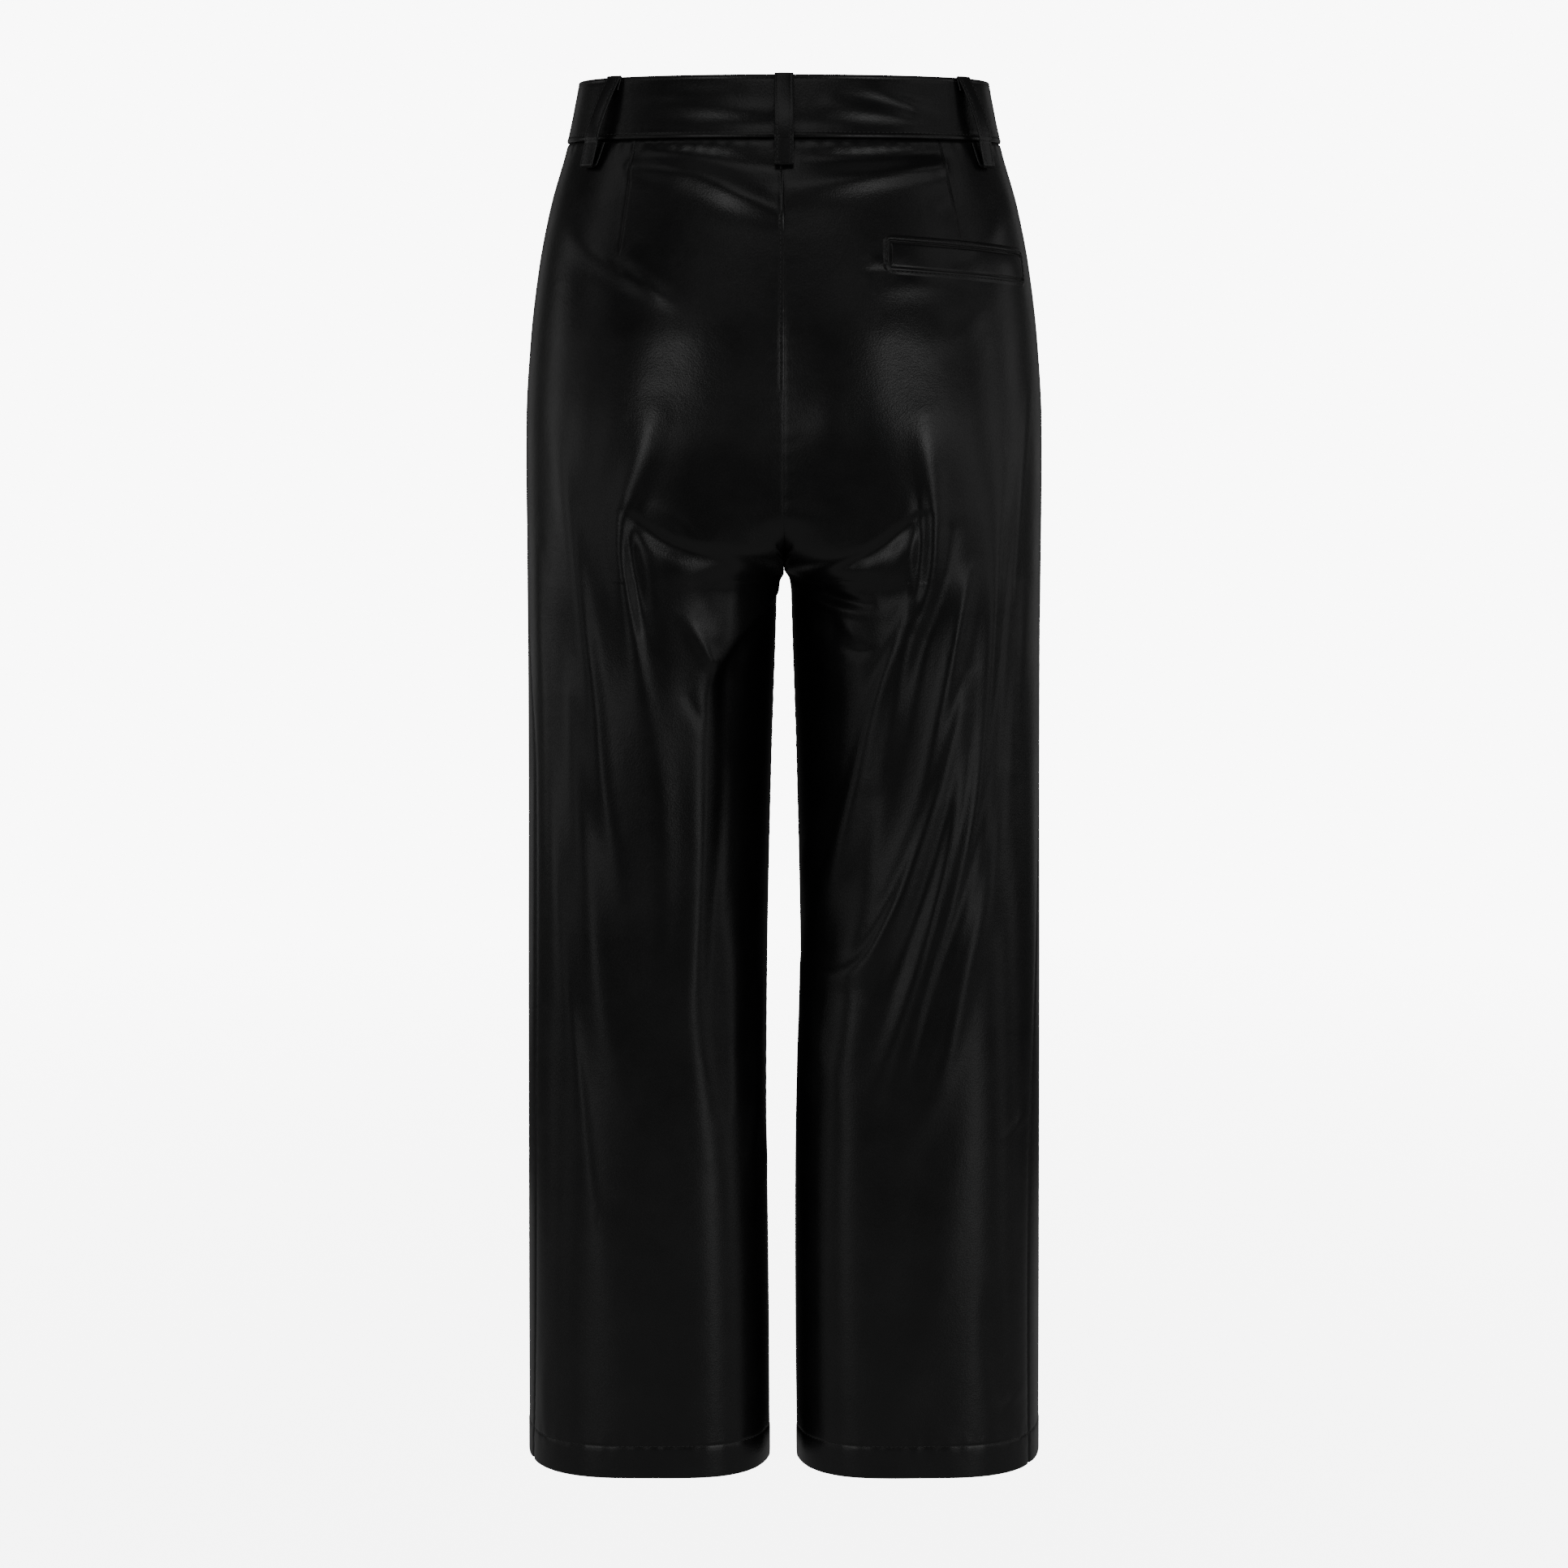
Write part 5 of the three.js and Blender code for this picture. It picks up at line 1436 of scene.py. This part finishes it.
# Soft boxes, each as far off as BOX_DISTANCE: degrees from the camera's side towards the left,
# degrees up, width and height in metres, and power in watts
SOFT_BOXES = [
    ("left_tall", 28, 0, 0.7, 2.2, 3.3),
    ("left_key", 28, 10, 0.6, 0.8, 2.4),
    ("left_low_fill", 14, 0, 0.8, 0.8, 0.8),
    ("left_high_fill", 14, 56, 0.8, 0.8, 0.95),
    ("left_wing", 62, 0, 0.7, 1.9, 1.8),
    ("left_wing_high", 62, 50, 0.8, 0.9, 0.9),
    ("left_side", 86, 0, 0.8, 1.6, 2.2),
    ("left_hip", 84, 34, 0.8, 0.8, 0.9),
    ("left_rim", 110, 6, 0.8, 1.4, 1.9),
    ("left_front", 150, 2, 0.8, 1.8, 0.8),
    ("right_tall", -28, -2, 0.7, 2.2, 4.6),
    ("right_key", -28, 9, 0.6, 0.8, 2.4),
    ("right_mid", -44, 12, 0.8, 0.9, 1.7),
    ("right_wing", -62, 0, 0.7, 1.9, 2.3),
    ("right_wing_high", -62, 36, 0.8, 0.8, 0.8),
    ("right_side", -86, 4, 0.8, 1.8, 2.5),
    ("right_hip", -84, 36, 0.8, 0.8, 0.7),
    ("right_rim", -110, 8, 0.8, 1.4, 1.5),
    ("right_front", -150, 2, 0.8, 1.8, 0.8),
    ("high_back", 0, 42, 1.4, 0.7, 2.2),
]
BOX_DISTANCE = 3.0
LIGHT_AIM = Vector((0.0, 0.0, -0.4))
OVERHEAD_AT = Vector((0.0, 0.2, 2.2))
OVERHEAD_WIDE = 1.6
FLOOR_GLOW_WIDE = 2.4
FLOOR_GLOW_LIFT = 0.01
CAMERA_AT = (0.0, 2.4, -0.115)
CAMERA_AIM = (0.0, 0.0, -0.447)
SENSOR = 36.0
FLOOR_RADIUS = 3.0
BACKDROP_RADIUS = 14.0


class TROUSERS_OT_stage(Operator):
    """Adds the floor, the pale backdrop, the soft boxes and the camera"""

    bl_idname = "trousers.stage"
    bl_label = "Stage"

    def execute(self, context):
        settings = context.scene.trousers_stage
        self.add_camera(context, settings)
        for name, turn, rise, wide, tall, power in SOFT_BOXES:
            turn, rise = math.radians(turn), math.radians(rise)
            way = Vector((math.sin(turn) * math.cos(rise), math.cos(turn) * math.cos(rise), math.sin(rise)))
            at = LIGHT_AIM + way * BOX_DISTANCE
            self.add_light(name, at, LIGHT_AIM, (wide, tall), power * settings.box_power)
        self.add_light("overhead", OVERHEAD_AT, LIGHT_AIM, (OVERHEAD_WIDE,) * 2, settings.overhead_power)
        glow_at = Vector((0.0, 0.0, settings.floor_height + FLOOR_GLOW_LIFT))
        self.add_light("floor_glow", glow_at, Vector(), (FLOOR_GLOW_WIDE,) * 2, settings.floor_glow_power, "DISK")
        self.add_floor(settings)
        self.add_backdrop(settings)
        world = bpy.data.worlds.new("studio_room")
        world.use_nodes = True
        room = world.node_tree.nodes["Background"]
        room.inputs["Color"].default_value = (1.0, 1.0, 1.0, 1.0)
        room.inputs["Strength"].default_value = settings.surround_strength
        context.scene.world = world
        return {"FINISHED"}

    def add_camera(self, context, settings):
        data = bpy.data.cameras.new("photo_camera")
        data.lens = settings.lens
        data.sensor_width = SENSOR
        camera = bpy.data.objects.new("photo_camera", data)
        camera.location = CAMERA_AT
        camera.rotation_euler = (Vector(CAMERA_AIM) - Vector(CAMERA_AT)).to_track_quat("-Z", "Y").to_euler()
        context.scene.collection.objects.link(camera)
        context.scene.camera = camera

    def add_light(self, name, at, aim, size, power, shape="RECTANGLE"):
        data = bpy.data.lights.new(name, "AREA")
        data.shape = shape
        data.size, data.size_y = size
        data.energy = power
        light = bpy.data.objects.new(name, data)
        light.location = at
        light.rotation_euler = (aim - at).to_track_quat("-Z", "Y").to_euler()
        light.visible_camera = False
        bpy.context.scene.collection.objects.link(light)

    def add_floor(self, settings):
        """A pale disc that fades into the backdrop at its rim."""
        turns = np.linspace(0, 2 * math.pi, 97)[:-1]
        rim = np.stack([np.cos(turns), np.sin(turns), np.zeros_like(turns)], -1) * FLOOR_RADIUS / MM
        rim[:, 2] = settings.floor_height / MM
        material, nodes, links, shader = node_material("pale_floor")
        shader.inputs["Base Color"].default_value = (*settings.floor_colour, 1.0)
        shader.inputs["Roughness"].default_value = 0.9
        shader.inputs["Emission Color"].default_value = (1.0, 1.0, 1.0, 1.0)
        shader.inputs["Emission Strength"].default_value = settings.floor_strength
        place = nodes.new("ShaderNodeTexCoord").outputs["Object"]
        away = nodes.new("ShaderNodeVectorMath")
        away.operation = "LENGTH"
        links.new(place, away.inputs[0])
        fade = remap(nodes, links, away.outputs["Value"], 1.0, 2.8, 1.0, 0.0)
        links.new(fade, shader.inputs["Alpha"])
        floor = mesh_object("floor", rim, [list(range(len(rim)))], [material])
        floor.visible_glossy = False
        floor.visible_diffuse = False

    def add_backdrop(self, settings):
        material = bpy.data.materials.new("pale_backdrop")
        material.use_nodes = True
        nodes = material.node_tree.nodes
        nodes.remove(nodes["Principled BSDF"])
        glow = nodes.new("ShaderNodeEmission")
        glow.inputs["Strength"].default_value = settings.backdrop_strength
        material.node_tree.links.new(glow.outputs["Emission"], nodes["Material Output"].inputs["Surface"])
        bpy.ops.mesh.primitive_uv_sphere_add(segments=48, ring_count=24, radius=BACKDROP_RADIUS)
        backdrop = bpy.context.object
        backdrop.name = "backdrop"
        backdrop.data.materials.append(material)
        backdrop.visible_diffuse = False
        backdrop.visible_glossy = False
        backdrop.visible_transmission = False
        backdrop.visible_shadow = False


class TROUSERS_PT_panel(Panel):
    """Lists the steps and settings of the trousers"""

    bl_label = "Trousers"
    bl_idname = "TROUSERS_PT_panel"
    bl_space_type = "VIEW_3D"
    bl_region_type = "UI"
    bl_category = "Trousers"

    def draw(self, context):
        layout = self.layout
        for step in STEPS:
            layout.operator(step.bl_idname)
        for group in ("trousers_cloth", "trousers_sewing", "trousers_stage"):
            settings = getattr(context.scene, group)
            box = layout.box()
            for name in settings.__annotations__:
                box.prop(settings, name)


STEPS = (
    TROUSERS_OT_stage,
    TROUSERS_OT_leg_panels,
    TROUSERS_OT_waistband,
    TROUSERS_OT_belt_loops,
    TROUSERS_OT_pocket,
    TROUSERS_OT_closure,
    TROUSERS_OT_sewing,
)
CLASSES = (ClothSettings, SewingSettings, StageSettings, *STEPS, TROUSERS_PT_panel)


def register():
    for cls in CLASSES:
        bpy.utils.register_class(cls)
    bpy.types.Scene.trousers_cloth = PointerProperty(type=ClothSettings)
    bpy.types.Scene.trousers_sewing = PointerProperty(type=SewingSettings)
    bpy.types.Scene.trousers_stage = PointerProperty(type=StageSettings)


def unregister():
    for name in ("trousers_cloth", "trousers_sewing", "trousers_stage"):
        delattr(bpy.types.Scene, name)
    for cls in reversed(CLASSES):
        bpy.utils.unregister_class(cls)


def main():
    register()
    bpy.ops.trousers.stage()
    bpy.ops.trousers.leg_panels()
    bpy.ops.trousers.waistband()
    bpy.ops.trousers.belt_loops()
    bpy.ops.trousers.pocket()
    bpy.ops.trousers.closure()
    bpy.ops.trousers.sewing()


if __name__ == "__main__":
    main()
